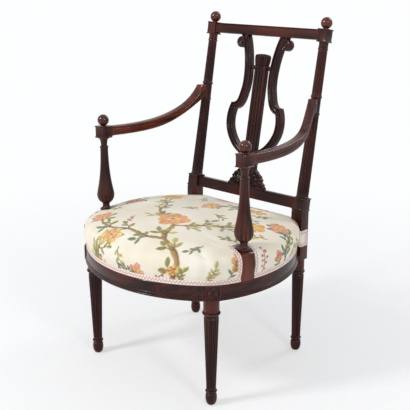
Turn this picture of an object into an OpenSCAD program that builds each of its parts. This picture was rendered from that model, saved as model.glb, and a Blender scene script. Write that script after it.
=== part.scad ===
// Open armchair with a round stuffed seat, turned and fluted legs, baluster arm supports
// and a lyre in the back. Millimetres, +Z up, the sitter faces -Y.
// Left and right are as seen from in front of the chair, so right is +X.

/* [Seat frame] */
// Width over the side rails
seat_w = 575; // [555:1:595]
// Distance from the widest line of the seat to the middle of the front rail
seat_front = 264; // [255:1:275]
// Radius of the outer face of the front rail
front_r = 350; // [345:1:358]
// Radius of the outer faces of the side rails
side_r = 335; // [330:1:340]
// Height of the top of the rails above the floor
rail_top = 334.5; // [310:0.5:360]
// Height of the rails
rail_h = 40; // [36:1:46]
// Thickness of the side and front rails
rail_t = 27; // [24:0.5:30]
// Thickness of the straight rear rail
rear_rail_t = 22; // [18:0.5:24]
// How far the bead along the lower edge of the rails stands proud
rail_bead = 2.9; // [2:0.1:4]
// Height of that bead
rail_bead_h = 6; // [4:0.5:8]
// Height of the hollow above the bead
rail_cove_h = 6; // [4:0.5:8]

/* [Front legs] */
// Angle of the face of a front leg block from straight ahead
front_leg_turn = 50.6; // [48:0.2:54]
// Distance from the corner of the seat in to the axis of a front leg
front_leg_inset = 24; // [22:0.5:26]
// How far a front leg is slid round towards the front
front_leg_slide = 9.6; // [8:0.2:11]
// Width of a front leg block
leg_block_w = 40; // [38:0.5:44]
// Depth of a front leg block behind its axis
leg_block_back = 19.5; // [18:0.5:22]
// Radius of the round neck under a front leg block
leg_dado_r = 20.4; // [19:0.1:21.5]
// Radius of the fluted shaft at its top
leg_top_r = 19.2; // [18:0.1:20]
// Radius of the fluted shaft at its foot
leg_foot_r = 12.5; // [11:0.1:14]
// Height of the top of the fluted shaft
leg_shaft_top = 243; // [225:1:245]
// Height of the foot of the fluted shaft
leg_shaft_foot = 44.5; // [40:0.5:50]
// Height of the middle of the upper ring
leg_ring_z = 255.5; // [253:0.5:260]
// How far the upper ring stands proud
leg_ring_proud = 3.4; // [2:0.1:5]
// Height of the upper and lower rings
leg_ring_h = 7; // [5:0.5:8]
// Height of the middle of the ring above the foot
foot_ring_z = 40; // [38.5:0.5:40.5]
// Height of the neck of the foot
foot_neck_z = 32; // [29:0.5:34]
// Radius of the neck of the foot
foot_neck_r = 13; // [11:0.1:14]
// Height of the widest part of the foot
foot_bulge_z = 20; // [16:0.5:24]
// Radius of the widest part of the foot
foot_bulge_r = 15; // [14.2:0.1:17]
// Radius of the flat under the foot
foot_tip_r = 6; // [6:0.1:9]
// Number of flutes round a leg or a column
flute_count = 12; // [10:1:14]
// Share of the girth that the flutes take
flute_share = 0.74; // [0.6:0.02:0.8]

/* [Rear posts] */
// How far the axis of a rear post stands in from the outer face of the side rail that meets it
post_set = 4.17; // [0:0.01:9]
// Distance from the widest line of the seat back to the axis of a rear leg
post_y = 240.3; // [235:0.5:246]
// Width of the square part of a rear post
stile_w = 35; // [33:0.5:38]
// Height of the bottom of the square part
stile_z = 283; // [276:1:288]
// Radius of the fluted rear leg at its top
rear_leg_top_r = 16.8; // [15:0.1:17]
// Height of the top of the flutes of a rear leg
rear_shaft_top = 236; // [225:1:238]
// Height of the ring of a rear leg
rear_ring_z = 246; // [243:0.5:250]
// Height at which the post starts to lean back
bend_z = 419; // [410:1:425]
// Angle that the upper post leans back
rake = 10.3; // [8:0.1:12]
// Distance along the post from the bend to the foot of the round column
column_foot = 45.7; // [44:0.1:50]
// Radius of the column at its foot
column_foot_r = 17; // [16:0.1:17.4]
// Radius of the column at the arm
column_arm_r = 14.2; // [13.5:0.1:15]
// Radius of the column at its top
column_top_r = 12.6; // [11.5:0.1:13.4]
// Distance along the column from its foot to the ring below the arm
low_ring_s = 232; // [225:1:240]
// Distance along the column from its foot to the ring above the arm
high_ring_s = 278; // [274:1:284]
// Distance along the column from its foot to its collar
collar_s = 407; // [400:1:410]
// Distance along the column from its foot to the bottom of the top block
top_block_s = 427; // [424:1:432]
// Height of the top block
top_block_h = 33; // [31:0.5:36]
// Width of the top block
top_block_w = 28.7; // [28:0.1:30]
// How far the ledges of a square block stand proud
ledge = 1.6; // [1:0.1:3]
// Height of each step of a ledge
ledge_h = 2.4; // [1.5:0.1:3]

/* [Back rails] */
// Height of the lower back rail
lower_rail_h = 31; // [28:0.5:34]
// Thickness of the lower back rail
lower_rail_t = 22; // [18:0.5:26]
// Height of the crest rail
crest_h = 28.5; // [26:0.5:30]
// Thickness of the crest rail
crest_t = 22; // [18:0.5:26]

/* [Lyre] */
// Half width of the lyre at its widest
lyre_half_w = 100; // [90:1:115]
// Thickness of the lyre's scrolls
lyre_t = 20; // [16:0.5:21.5]
// Width of the lower scrolls
low_scroll_w = 19.2; // [16:0.2:21]
// Width of the upper scrolls
high_scroll_w = 20; // [17:0.2:21]
// Radius of the volute at the top of each scroll
volute_r = 16; // [13:0.2:17]
// Width of the reeded stem
stem_w = 41; // [36:0.5:42]
// Thickness of the stem
stem_t = 20; // [16:0.5:21.5]
// Number of reeds on the stem
reed_count = 4; // [3:1:6]
// Width of the shell head on the stem
head_w = 47; // [43:0.5:50]
// Height of the shell head
head_h = 42; // [36:0.5:46]
// Height of the crossbar
crossbar_h = 8; // [6:0.5:10]
// Half width of the base of the lyre
base_half_w = 64; // [58:1:72]
// Height of the base of the lyre
base_h = 74; // [72:0.5:78]

/* [Arms] */
// Distance that an arm support stands in from the outer face of the side rail
support_inset = 23.3; // [22:0.1:25]
// Angle of an arm support round the side rail, from straight ahead
support_turn = 75.8; // [72:0.2:79]
// Width of the stump along the rail
stump_w = 40; // [37:0.5:42]
// Depth of the stump across the rail
stump_d = 45; // [42:0.5:47]
// How far the stump is set towards the front from the axis of the support
stump_slide = 2.5; // [0:0.1:2.5]
// How far the top of the stump falls to its outer face
stump_drop = 12; // [8:0.5:14]
// Radius of the disc at the foot of the support
disc_r = 17.5; // [16:0.1:17.5]
// Height of the top of the stump
stump_top = 409; // [404:1:414]
// Height at which the swell of the support starts
vase_foot_z = 431; // [428:0.5:434]
// Height of the widest part of the support
vase_z = 456; // [450:0.5:460]
// Radius of the widest part of the support
vase_r = 23.7; // [22:0.1:26]
// Height to which the swell stands nearly upright
vase_top_z = 474; // [470:0.5:478]
// Radius of the neck under the swell
vase_neck_r = 9.5; // [8:0.1:11]
// Radius that the swell draws in to, above the vase
shaft_foot_r = 13; // [12:0.1:14]
// Height at which it would reach that radius
shaft_foot_z = 500; // [494:1:506]
// Radius of the support's shaft at its top
shaft_top_r = 10.9; // [10:0.1:11.8]
// Height of the collar under the arm block
arm_collar_z = 602; // [598:0.5:605]
// Height of the bottom of the arm block
arm_block_z = 619; // [616:0.5:622]
// Height of the arm block
arm_block_h = 33; // [31:0.5:35]
// Width of the arm block
arm_block_w = 32; // [31:0.5:34]
// Width of an arm
arm_w = 24; // [20:0.5:26]
// Height of an arm where it leaves its block
arm_h = 28; // [25:0.5:29]

/* [Finials] */
// Radius of the balls on the posts and the arm blocks
ball_r = 15.9; // [14:0.1:17]
// Radius of the neck under a ball
ball_neck_r = 8; // [7.5:0.1:9]
// Height of the neck under a ball
ball_neck_h = 2.6; // [2:0.1:4]

/* [Seat stuffing] */
// Height of the crown of the seat above the rails
crown_h = 96; // [84:1:105]
// Thickness of the seat cover with its wadding
cover_t = 2; // [1.5:0.1:3]
// How far the foot of the cover stands in from the face of the rail
cover_inset = 2; // [1.5:0.1:3]
// Height of the top of the flaps on the rear posts above the rails
flap_h = 38; // [34:0.5:44]
// How far the flaps hang below the top of the rails
flap_drop = 7.5; // [5:0.5:9]
// Length of the flaps along the outer sides of the rear posts
flap_l = 27; // [22:0.5:31]
// Height of the braid along the lower edge of the cover
gimp_h = 12.5; // [10:0.5:14]
// Thickness of the braid
gimp_t = 1.4; // [1:0.1:2]
// Width of the braid round the stumps and the flaps
edge_gimp_w = 10.5; // [8:0.5:12]
// Width of a webbing strap
web_w = 50; // [44:1:54]
// Thickness of a webbing strap
web_t = 1.2; // [1:0.1:1.6]
// Thickness of the hessian
hessian_t = 0.8; // [0.6:0.1:1.2]
// Number of straps from front to back
web_count = 5; // [4:1:5]

/* [Joints and fasteners] */
// Thickness of a rail tenon
tenon_t = 9; // [8:0.5:10]
// Length of a rail tenon
tenon_l = 13.5; // [12:0.5:14]
// Shoulder above and below a rail tenon
tenon_shoulder = 6; // [5:0.5:8]
// Radius of a peg through a joint
peg_r = 2.5; // [2:0.1:3]
// Length of a peg
peg_l = 21; // [18:0.5:23]
// Radius of a finial's dowel
dowel_r = 5; // [4:0.1:6]
// Length of a finial's dowel
dowel_l = 13; // [10:0.5:14]
// Radius of a wood screw's shank
screw_r = 2; // [1.8:0.1:2.4]
// Radius of a wood screw's head
screw_head_r = 4; // [3.6:0.1:4.6]
// Radius of a tack's head
tack_head_r = 3; // [2.5:0.1:3.5]
// Radius of a tack's shank
tack_r = 0.8; // [0.7:0.05:1]
// Length of a tack's shank
tack_l = 11; // [9:0.5:13]
// Clearance of a glued joint or a screw, on each side
glue_gap = 0.1; // [0.1:0.05:0.2]
// Clearance between the stuffing and the wood
soft_gap = 0.3; // [0.3:0.05:0.5]

/* [Hidden] */
$fn = 64;

// Overrun of every cut
cut = 1;
// Far side of a cut that removes all beyond a face
beyond = seat_w;
// How far the rear rail stands in from the backs of the posts
rear_rail_set = 2;
// Overrun of the sweeps of the rails, in degrees
sweep_over = 3;

rail_z = rail_top - rail_h;
front_cy = front_r - seat_front;
side_cx = side_r - seat_w / 2;

// Corner where the outer faces of the front and side rails cross, on the right
centres = norm([side_cx, front_cy]);
along = (pow(front_r, 2) - pow(side_r, 2) + pow(centres, 2)) / (2 * centres);
across = sqrt(pow(front_r, 2) - pow(along, 2));
corner = [0, front_cy] + along * [-side_cx, -front_cy] / centres + across * [front_cy, -side_cx] / centres;
leg_out = [sin(front_leg_turn), -cos(front_leg_turn)];
leg_round = [cos(front_leg_turn), sin(front_leg_turn)];
leg_xy = corner - front_leg_inset * leg_out - front_leg_slide * leg_round;
leg_face_r = leg_block_w / 2;

// Rear post
stile_front = post_y - stile_w / 2;
post_x = sqrt(pow(side_r, 2) - pow(stile_front, 2)) - side_cx - post_set;
stile_in = post_x - stile_w / 2;
stile_out = post_x + stile_w / 2;
lower_rail_s = -ledge_h * 2.5;
lower_block_s = lower_rail_s - lower_rail_h;
crest_s = top_block_s + (top_block_h - crest_h) / 2;
top_of_block_s = top_block_s + top_block_h;
ball_seat = ball_r - sqrt(pow(ball_r, 2) - pow(ball_neck_r, 2));
ball_s = top_of_block_s + ball_neck_h + ball_r - ball_seat;
post_back = post_y + (column_foot + ball_s) * sin(rake) + ball_r;

// The origin is under the middle of the whole chair
y_mid = (post_back - seat_front - rail_bead) / 2;

// Arm support
support_r = side_r - support_inset;
support_xy = [support_r * sin(support_turn) - side_cx, -support_r * cos(support_turn)];
arm_block_top = arm_block_z + arm_block_h;
arm_z = arm_block_z + arm_block_h / 2;

// A point of the raked post's axis, at a distance along the column
function post_point(s) = [post_y + (column_foot + s) * sin(rake), bend_z + (column_foot + s) * cos(rake)];

// Arm: its edges seen from the side, as y and z, and its middle line seen from above, as x and y
arm_start_y = support_xy[1] + arm_block_w / 2;
arm_joint = post_point((low_ring_s + high_ring_s) / 2);
arm_foot_point = post_point(low_ring_s + leg_ring_h / 2);
arm_head_point = post_point(high_ring_s - leg_ring_h / 2);
arm_run = arm_joint[0] - arm_start_y;
arm_rise = arm_joint[1] - arm_z;
arm_in = support_xy[0] - post_x;
arm_head_reach = 15.6;
arm_top_shares = [[0.65, -0.23], [0.81, 0.21]];
arm_low_shares = [[0.68, -0.21], [0.69, 0.19]];
arm_plan_shares = [[0.85, 0.07], [0.68, 0.57]];
arm_tenon_t = 8;
arm_tenon_h = 20;
arm_tenon_l = 10.5;

// Places on the lyre, from the middle of the chair and the top of the lower back rail,
// as shares of its half width and of its height
lyre_h = crest_s - lower_rail_s;
low_scroll_shares = [[0.12, 0.223], [0.53, 0.228], [0.774, 0.322], [0.845, 0.365],
                     [0.94, 0.422], [0.9, 0.49], [0.805, 0.534]];
high_scroll_shares = [[0.89, 0.525], [0.581, 0.522], [0.55, 0.579], [0.48, 0.644],
                      [0.375, 0.745], [0.53, 0.955], [0.755, 1.02]];
volute_shares = [0.8, 0.943];
base_shares = [[1, 0], [1, 0.09], [0.93, 0.2], [0.83, 0.3], [0.84, 0.38], [0.72, 0.5], [0.6, 0.6],
               [0.46, 0.68], [0.4, 0.8], [0.42, 0.93], [0.42, 1]];
stem_top_share = 0.795;
scroll_steps = 12;
stem_half = stem_w / 2;

// Stuffing, from the foot of the wall in to the crown: share of the plan radius, and share of
// the crown height at the front and sides, and at the back
cushion_shares = [[1, 0, 0], [1, 0.14, 0.14], [1.012, 0.25, 0.24], [1.019, 0.42, 0.37], [1.018, 0.56, 0.47],
                  [1.008, 0.66, 0.545], [0.987, 0.735, 0.605], [0.948, 0.785, 0.66], [0.875, 0.84, 0.73],
                  [0.74, 0.905, 0.825], [0.55, 0.96, 0.915], [0.3, 0.99, 0.98]];
cushion_turns = 52;
cushion_corner = 70;
tack_head_h = 0.6;
pad_z = rail_top + 2 * web_t + hessian_t + tack_head_h;
strap_inset = 6;
hessian_inset = 5;
long_strap_shares = [for (i = [0:web_count - 1]) -0.88 + 1.76 * i / (web_count - 1)];
cross_strap_shares = [-0.56, -0.04, 0.23, 0.49, 0.75];
strap_reach = post_x * 0.72;

WOOD = [0.27, 0.10, 0.075];
WOOD_LIGHT = [0.36, 0.15, 0.09];
BRASS = [0.72, 0.58, 0.30];
STEEL = [0.45, 0.45, 0.47];
CREAM = [0.93, 0.89, 0.80];
PINK = [0.86, 0.70, 0.66];
JUTE = [0.66, 0.54, 0.36];
HORSEHAIR = [0.22, 0.19, 0.17];

// Curves and turned profiles

function bez(p, t) = p[0] * pow(1 - t, 3) + 3 * p[1] * pow(1 - t, 2) * t
    + 3 * p[2] * (1 - t) * t * t + p[3] * pow(t, 3);
function bez_slope(p, t) = 3 * (p[1] - p[0]) * pow(1 - t, 2) + 6 * (p[2] - p[1]) * (1 - t) * t
    + 3 * (p[3] - p[2]) * t * t;
function right_of(v) = [v[1], -v[0]] / norm(v);
// Points along a chain of cubics, each of which starts where the last one ends
function curve(p, n, off = 0) = [for (k = [0:3:len(p) - 4]) for (i = [(k == 0 ? 0 : 1):n])
    let (q = [p[k], p[k + 1], p[k + 2], p[k + 3]]) bez(q, i / n) + off * right_of(bez_slope(q, i / n))];
function back_to_front(l) = [for (i = [len(l) - 1:-1:0]) l[i]];
function strip(p, w, n) = concat(curve(p, n, w / 2), back_to_front(curve(p, n, -w / 2)));

// A round moulding: half an ellipse, h high, whose middle is at z
function bead(r, z, h, proud, n = 6) =
    [for (i = [0:n]) [r + proud * sin(180 * i / n), z - h / 2 * cos(180 * i / n)]];
// Quarter ellipses from a to b: the first is level at a, the second upright there
function swell(a, b, n = 6) = [for (i = [0:n]) [a[0] + (b[0] - a[0]) * sin(90 * i / n),
                                                a[1] + (b[1] - a[1]) * (1 - cos(90 * i / n))]];
function tuck(a, b, n = 6) = [for (i = [0:n]) [a[0] + (b[0] - a[0]) * (1 - cos(90 * i / n)),
                                               a[1] + (b[1] - a[1]) * sin(90 * i / n)]];

module turned(points) {
    rotate_extrude() polygon(points);
}

// Square post section whose outline is the same on all four sides: half widths and heights
module squared(points) {
    outline = concat(points, [for (p = back_to_front(points)) [-p[0], p[1]]]);
    reach = 2 * max([for (p = points) p[0]]) + cut;
    intersection() {
        rotate([90, 0, 0]) linear_extrude(reach, center = true) polygon(outline);
        rotate([90, 0, 90]) linear_extrude(reach, center = true) polygon(outline);
    }
}

function ledged(half, z0, z1) = [[half + ledge, z0], [half + ledge, z0 + ledge_h],
                                 [half, z0 + ledge_h * 2], [half, z1 - ledge_h * 2],
                                 [half + ledge, z1 - ledge_h], [half + ledge, z1]];

// The room that such a ledged block needs in a part that ends against it
function round_ledges(half, z0, z1) = let (far = half + ledge + glue_gap, near = half + glue_gap)
    [[far, z0 - cut], [far, z0 + ledge_h + glue_gap], [near, z0 + ledge_h * 2 + glue_gap],
     [near, z1 - ledge_h * 2 - glue_gap], [far, z1 - ledge_h - glue_gap], [far, z1 + cut]];

// Section of a fluted shaft, and the tapering shaft itself
module fluted_section(r) {
    flute_r = PI * r * flute_share / flute_count;
    difference() {
        circle(r, $fn = 48);
        for (i = [0:flute_count - 1]) rotate(360 * (i + 0.5) / flute_count)
            translate([r + flute_r * 0.25, 0]) circle(flute_r, $fn = 20);
    }
}
module fluted(r0, z0, r1, z1) {
    translate([0, 0, z0]) linear_extrude(z1 - z0, scale = r1 / r0) fluted_section(r0);
}

module stand() {
    translate([0, -y_mid, 0]) children();
}
module on_side(side) {
    if (side < 0) mirror([1, 0, 0]) children();
    else children();
}
module at_leg() {
    translate([leg_xy[0], leg_xy[1], 0]) rotate(front_leg_turn - 90) children();
}
// Frame of the raked column, with its foot at zero
module at_column(x = post_x) {
    translate([x, post_y, bend_z]) rotate([-rake, 0, 0]) translate([0, 0, column_foot]) children();
}
module at_support() {
    translate([support_xy[0], support_xy[1], 0]) children();
}
module at_stump() {
    at_support() rotate(support_turn - 90) translate([0, -stump_slide, 0]) children();
}

// Joints: each shape is both the tongue and, with its clearance, the mortise

module tongue(size, gap) {
    translate([-size[0] / 2 - gap, -size[1] / 2 - gap, -size[2] / 2 - gap])
        cube([size[0] + 2 * gap, size[1] + 2 * gap, size[2] + 2 * gap]);
}
rail_tenon_h = rail_h - 2 * tenon_shoulder;
rail_mid_z = rail_z + rail_h / 2;
// Depth of the middle of each rail inside the face of its leg block
leg_tenon_x = front_leg_inset - rail_t * 0.6;
tenon_root = 6;
module leg_tenon(way, gap = 0) {
    at_leg() translate([leg_tenon_x, way * (leg_face_r - tenon_l / 2 + tenon_root / 2), rail_mid_z])
        tongue([tenon_t, tenon_l + tenon_root, rail_tenon_h], gap);
}
side_tenon_x = stile_in + tenon_t * 1.25;
module side_tenon(gap = 0) {
    translate([side_tenon_x, stile_front + tenon_l / 2 - tenon_root / 2, rail_mid_z])
        tongue([tenon_t, tenon_l + tenon_root, rail_tenon_h], gap);
}
rear_rail_y = post_y + stile_w / 2 - rear_rail_set - rear_rail_t / 2;
module rear_tenon(gap = 0) {
    translate([stile_in + tenon_l / 2 - tenon_root / 2, rear_rail_y, rail_mid_z])
        tongue([tenon_l + tenon_root, tenon_t, rail_tenon_h], gap);
}
module lower_rail_tenon(gap = 0) {
    at_column(stile_in) translate([tenon_l / 2 - tenon_root / 2, 0, (lower_block_s + lower_rail_s) / 2])
        tongue([tenon_l + tenon_root, tenon_t, lower_rail_h - 2 * tenon_shoulder], gap);
}
crest_in = post_x - top_block_w / 2;
crest_tenon_l = tenon_l * 0.65;
module crest_tenon(gap = 0) {
    at_column(crest_in) translate([crest_tenon_l / 2 - tenon_root / 2, 0, crest_s + crest_h / 2])
        tongue([crest_tenon_l + tenon_root, tenon_t, crest_h - 2 * tenon_shoulder], gap);
}
stump_tenon_l = 22;
module stump_tenon(gap = 0) {
    at_stump() translate([support_inset - rail_t / 2, 0, rail_top - stump_tenon_l / 2 + tenon_root / 2])
        tongue([tenon_t, stump_w * 0.6, stump_tenon_l + tenon_root], gap);
}
module arm_front_tenon(gap = 0) {
    at_support() translate([0, arm_block_w / 2 - arm_tenon_l / 2 + tenon_root / 2, arm_z])
        tongue([arm_tenon_t, arm_tenon_l + tenon_root, arm_tenon_h], gap);
}
module arm_rear_tenon(gap = 0) {
    translate([post_x, arm_joint[0] - column_arm_r + arm_tenon_l / 2 - tenon_root, arm_joint[1]])
        tongue([arm_tenon_t, arm_tenon_l + 2 * tenon_root, arm_tenon_h], gap);
}
module ball_dowel(gap = 0) {
    translate([0, 0, -dowel_l - gap]) cylinder(h = dowel_l + gap, r = dowel_r + gap);
}
stem_tenon_l = 14;
module stem_tenon(gap = 0) {
    at_column(0) translate([0, 0, lower_rail_s + base_h - stem_tenon_l / 2 + tenon_root / 2])
        tongue([stem_w / 2, tenon_t, stem_tenon_l + tenon_root], gap);
}
base_tenon_l = 10;
module base_tenon(gap = 0) {
    for (side = [-1, 1]) at_column(side * base_half_w / 2)
        translate([0, 0, lower_rail_s - base_tenon_l / 2 + tenon_root / 2])
            tongue([base_half_w / 3, tenon_t, base_tenon_l + tenon_root], gap);
}
branch_tenon_l = 8;
module branch_top_tenon(gap = 0) {
    at_column(lyre_half_w * 0.735) translate([0, 0, crest_s + branch_tenon_l / 2 - tenon_root / 2])
        tongue([high_scroll_w / 2, tenon_t, branch_tenon_l + tenon_root], gap);
}
branch_foot_s = lower_rail_s + lyre_h * low_scroll_shares[0][1] + low_scroll_w * 0.1;
module branch_foot_tenon(gap = 0) {
    at_column(stem_half) translate([0, 0, branch_foot_s])
        tongue([2 * tenon_root, tenon_t * 0.8, tenon_root * 1.6], gap);
}
crossbar_s = lower_rail_s + lyre_h * stem_top_share;
crossbar_half = lyre_half_w * 0.42;
module crossbar_bar(gap = 0) {
    at_column(0) translate([0, 0, crossbar_s])
        tongue([2 * crossbar_half, tenon_t, crossbar_h], gap);
}

// Pegs: places on the right half, as a list of modules' shapes
module peg(gap, l = peg_l) {
    cylinder(h = l + gap, r = peg_r + gap, $fn = 32);
}
module leg_pegs(gap = 0) {
    for (way = [-1, 1]) at_leg()
        translate([-leg_block_back, way * (leg_face_r - tenon_l / 2), rail_mid_z + way * peg_r * 1.6])
            rotate([0, 90, 0]) peg(gap, leg_block_back + leg_tenon_x + tenon_t * 0.8);
}
module rail_peg_side(gap = 0) {
    translate([stile_in, stile_front + tenon_l / 2, rail_mid_z]) rotate([0, 90, 0]) peg(gap);
}
module rail_peg_rear(gap = 0) {
    translate([stile_in + tenon_l / 2, post_y + stile_w / 2, rail_mid_z + peg_r * 3]) rotate([90, 0, 0])
        cylinder(h = peg_l - tenon_root + gap, r = peg_r + gap, $fn = 32);
}
module lower_rail_peg(gap = 0) {
    at_column(stile_in + tenon_l / 2) translate([0, stile_w / 2, (lower_block_s + lower_rail_s) / 2])
        rotate([90, 0, 0]) peg(gap);
}
module crest_peg(gap = 0) {
    at_column(crest_in + crest_tenon_l / 2) translate([0, top_block_w / 2, crest_s + crest_h / 2])
        rotate([90, 0, 0]) peg(gap);
}

// Seat rails

module rail_section(r) {
    in = r - rail_t;
    bead_mid = rail_z + rail_bead_h / 2;
    polygon(concat([[in, rail_z], [r, rail_z]],
                   bead(r, bead_mid, rail_bead_h, rail_bead),
                   tuck([r + rail_bead * 0.6, rail_z + rail_bead_h + glue_gap],
                        [r, rail_z + rail_bead_h + rail_cove_h]),
                   [[r, rail_top], [in, rail_top]]));
}
// All that lies on the far side of a leg block, seen from the front or the side rail
module leg_far(way) {
    at_leg() translate([-beyond, way > 0 ? -leg_face_r : leg_face_r - 2 * beyond, 0])
        cube([2 * beyond, 2 * beyond, 2 * rail_top]);
}
module front_rail() {
    sweep = 2 * atan2(corner[0], front_cy - corner[1]);
    color(WOOD) stand() difference() {
        union() {
            difference() {
                translate([0, front_cy, 0]) rotate(-90 - sweep / 2)
                    rotate_extrude(angle = sweep) rail_section(front_r);
                for (side = [-1, 1]) on_side(side) leg_far(1);
            }
            for (side = [-1, 1]) on_side(side) leg_tenon(-1);
        }
        for (side = [-1, 1]) on_side(side) {
            leg_pegs(glue_gap);
            corner_screw_holes();
        }
        front_tacks(glue_gap);
    }
}
module side_rail(side) {
    first = atan2(corner[1], corner[0] + side_cx) - sweep_over;
    last = asin(stile_front / (side_r - rail_t)) + sweep_over;
    color(WOOD) stand() on_side(side) difference() {
        union() {
            difference() {
                translate([-side_cx, 0, 0]) rotate(first)
                    rotate_extrude(angle = last - first) rail_section(side_r);
                leg_far(-1);
                translate([0, stile_front, 0]) cube([beyond, beyond, 2 * rail_top]);
            }
            leg_tenon(1);
            side_tenon();
        }
        leg_pegs(glue_gap);
        rail_peg_side(glue_gap);
        stump_tenon(glue_gap);
        stump_screw(glue_gap);
        corner_screw_holes();
        side_tacks(glue_gap);
    }
}
module rear_rail() {
    color(WOOD) stand() difference() {
        union() {
            translate([-stile_in, 0, 0]) rotate([90, 0, 90]) linear_extrude(2 * stile_in)
                translate([rear_rail_y - rear_rail_t / 2, rail_z]) square([rear_rail_t, rail_h]);
            for (side = [-1, 1]) on_side(side) rear_tenon();
        }
        for (side = [-1, 1]) on_side(side) {
            rail_peg_rear(glue_gap);
            corner_screw_holes();
        }
        rear_tacks(glue_gap);
    }
}

// Legs and posts

foot_profile = concat([[0, 0]],
    swell([foot_tip_r, 0], [foot_bulge_r, foot_bulge_z], 8),
    back_to_front(swell([foot_neck_r, foot_neck_z], [foot_bulge_r, foot_bulge_z], 5)),
    bead(foot_neck_r - 0.4 * ledge, foot_ring_z, leg_ring_h, leg_ring_proud * 0.9),
    [[leg_foot_r, leg_shaft_foot], [0, leg_shaft_foot]]);
// Neck, ring and round above the fluted shaft
function neck_profile(shaft_r, shaft_top, ring_z, ring_proud, r, top) = concat(
    [[0, shaft_top], [shaft_r, shaft_top], [shaft_r - ledge * 0.6, shaft_top + ledge],
     [shaft_r - ledge * 0.6, ring_z - leg_ring_h / 2 - ledge]],
    bead(r - ledge * 0.5, ring_z, leg_ring_h, ring_proud),
    [[r, ring_z + leg_ring_h / 2 + ledge], [r, top], [0, top]]);
module turned_leg(shaft_r, shaft_top, ring_z, ring_proud, r, top) {
    turned(foot_profile);
    fluted(leg_foot_r, leg_shaft_foot, shaft_r, shaft_top);
    turned(neck_profile(shaft_r, shaft_top, ring_z, ring_proud, r, top));
}

rosette_r = leg_block_w * 0.325;
rosette_edge = leg_block_w * 0.085;
panel_deep = ledge_h * 0.625;
module leg_block() {
    face = front_leg_inset;
    panel = rail_h - 2 * rosette_edge;
    difference() {
        translate([-leg_block_back, -leg_face_r, rail_z])
            cube([leg_block_back + face, leg_block_w, rail_h]);
        translate([face - panel_deep, -panel / 2, rail_mid_z - panel / 2])
            cube([panel_deep + cut, panel, panel]);
    }
    translate([face - 2 * panel_deep, 0, rail_mid_z]) rotate([0, 90, 0]) {
        cylinder(h = 2 * panel_deep, r = rosette_r);
        cylinder(h = 2.6 * panel_deep, r = rosette_r * 0.3);
    }
}
module front_leg(side) {
    color(WOOD) stand() on_side(side) difference() {
        union() {
            at_leg() turned_leg(leg_top_r, leg_shaft_top, leg_ring_z, leg_ring_proud, leg_dado_r, rail_z);
            at_leg() leg_block();
        }
        for (way = [-1, 1]) leg_tenon(way, glue_gap);
        leg_pegs(glue_gap);
        side_tacks(glue_gap);
    }
}

// Side view of the square stile, as y and z, with its bend
stile_top = lower_block_s + ledge_h;
module stile() {
    half = stile_w / 2;
    shift = half * tan(rake / 2);
    up = column_foot + stile_top;
    translate([post_x - half, 0, 0]) rotate([90, 0, 90]) linear_extrude(stile_w)
        polygon([[post_y - half, stile_z], [post_y + half, stile_z], [post_y + half, bend_z - shift],
                 [post_y + half * cos(rake) + up * sin(rake), bend_z - half * sin(rake) + up * cos(rake)],
                 [post_y - half * cos(rake) + up * sin(rake), bend_z + half * sin(rake) + up * cos(rake)],
                 [post_y - half, bend_z + shift]]);
}
function column_r(s) = s < low_ring_s
    ? column_foot_r + (column_arm_r - column_foot_r) * s / low_ring_s
    : column_arm_r + (column_top_r - column_arm_r) * (s - low_ring_s) / (collar_s - low_ring_s);
// The plain stretch on each side of a ring, and of the foot of the column
plain_s = leg_ring_h;
module column_plain(from, to, beads) {
    turned(concat([[0, from], [column_r(from), from]], beads, [[column_r(to), to], [0, to]]));
}
// The flutes run on inside the plain parts at both ends, so that no edge of theirs lies on a plain one's
module column_flutes(from, to) {
    into = ledge;
    fluted(column_r(from - into) - glue_gap, from - into, column_r(to + into) - glue_gap, to + into);
}
module column() {
    turned([[0, -ledge_h], [column_foot_r + ledge, -ledge_h], [column_foot_r + ledge, 0],
            [column_foot_r, ledge_h], [column_r(plain_s), plain_s], [0, plain_s]]);
    column_flutes(plain_s, low_ring_s - plain_s);
    column_plain(low_ring_s - plain_s, high_ring_s + plain_s,
                 concat(bead(column_arm_r, low_ring_s, leg_ring_h, ledge),
                        bead(column_r(high_ring_s), high_ring_s, leg_ring_h, ledge * 1.3)));
    column_flutes(high_ring_s + plain_s, collar_s - plain_s);
    turned(concat([[0, collar_s - plain_s], [column_r(collar_s - plain_s), collar_s - plain_s]],
                  bead(column_top_r, collar_s, leg_ring_h * 0.8, ledge),
                  tuck([column_top_r, collar_s + leg_ring_h],
                       [top_block_w / 2 - ledge * 0.3, top_block_s - ledge_h], 5),
                  [[0, top_block_s - ledge_h]]));
}
module rear_post(side) {
    color(WOOD) stand() on_side(side) difference() {
        union() {
            translate([post_x, post_y, 0])
                turned_leg(rear_leg_top_r, rear_shaft_top, rear_ring_z, leg_ring_proud * 0.8,
                           stile_w / 2 - ledge * 0.2, stile_z);
            stile();
            at_column() {
                squared(ledged(stile_w / 2, lower_block_s, -ledge_h));
                column();
                squared(ledged(top_block_w / 2, top_block_s - ledge_h, top_of_block_s));
            }
        }
        side_tenon(glue_gap);
        rear_tenon(glue_gap);
        lower_rail_tenon(glue_gap);
        crest_tenon(glue_gap);
        arm_rear_tenon(glue_gap);
        arm_screw(glue_gap);
        rail_peg_side(glue_gap);
        rail_peg_rear(glue_gap);
        lower_rail_peg(glue_gap);
        crest_peg(glue_gap);
        at_column() translate([0, 0, top_of_block_s]) ball_dowel(glue_gap);
    }
}

// Back rails

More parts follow.
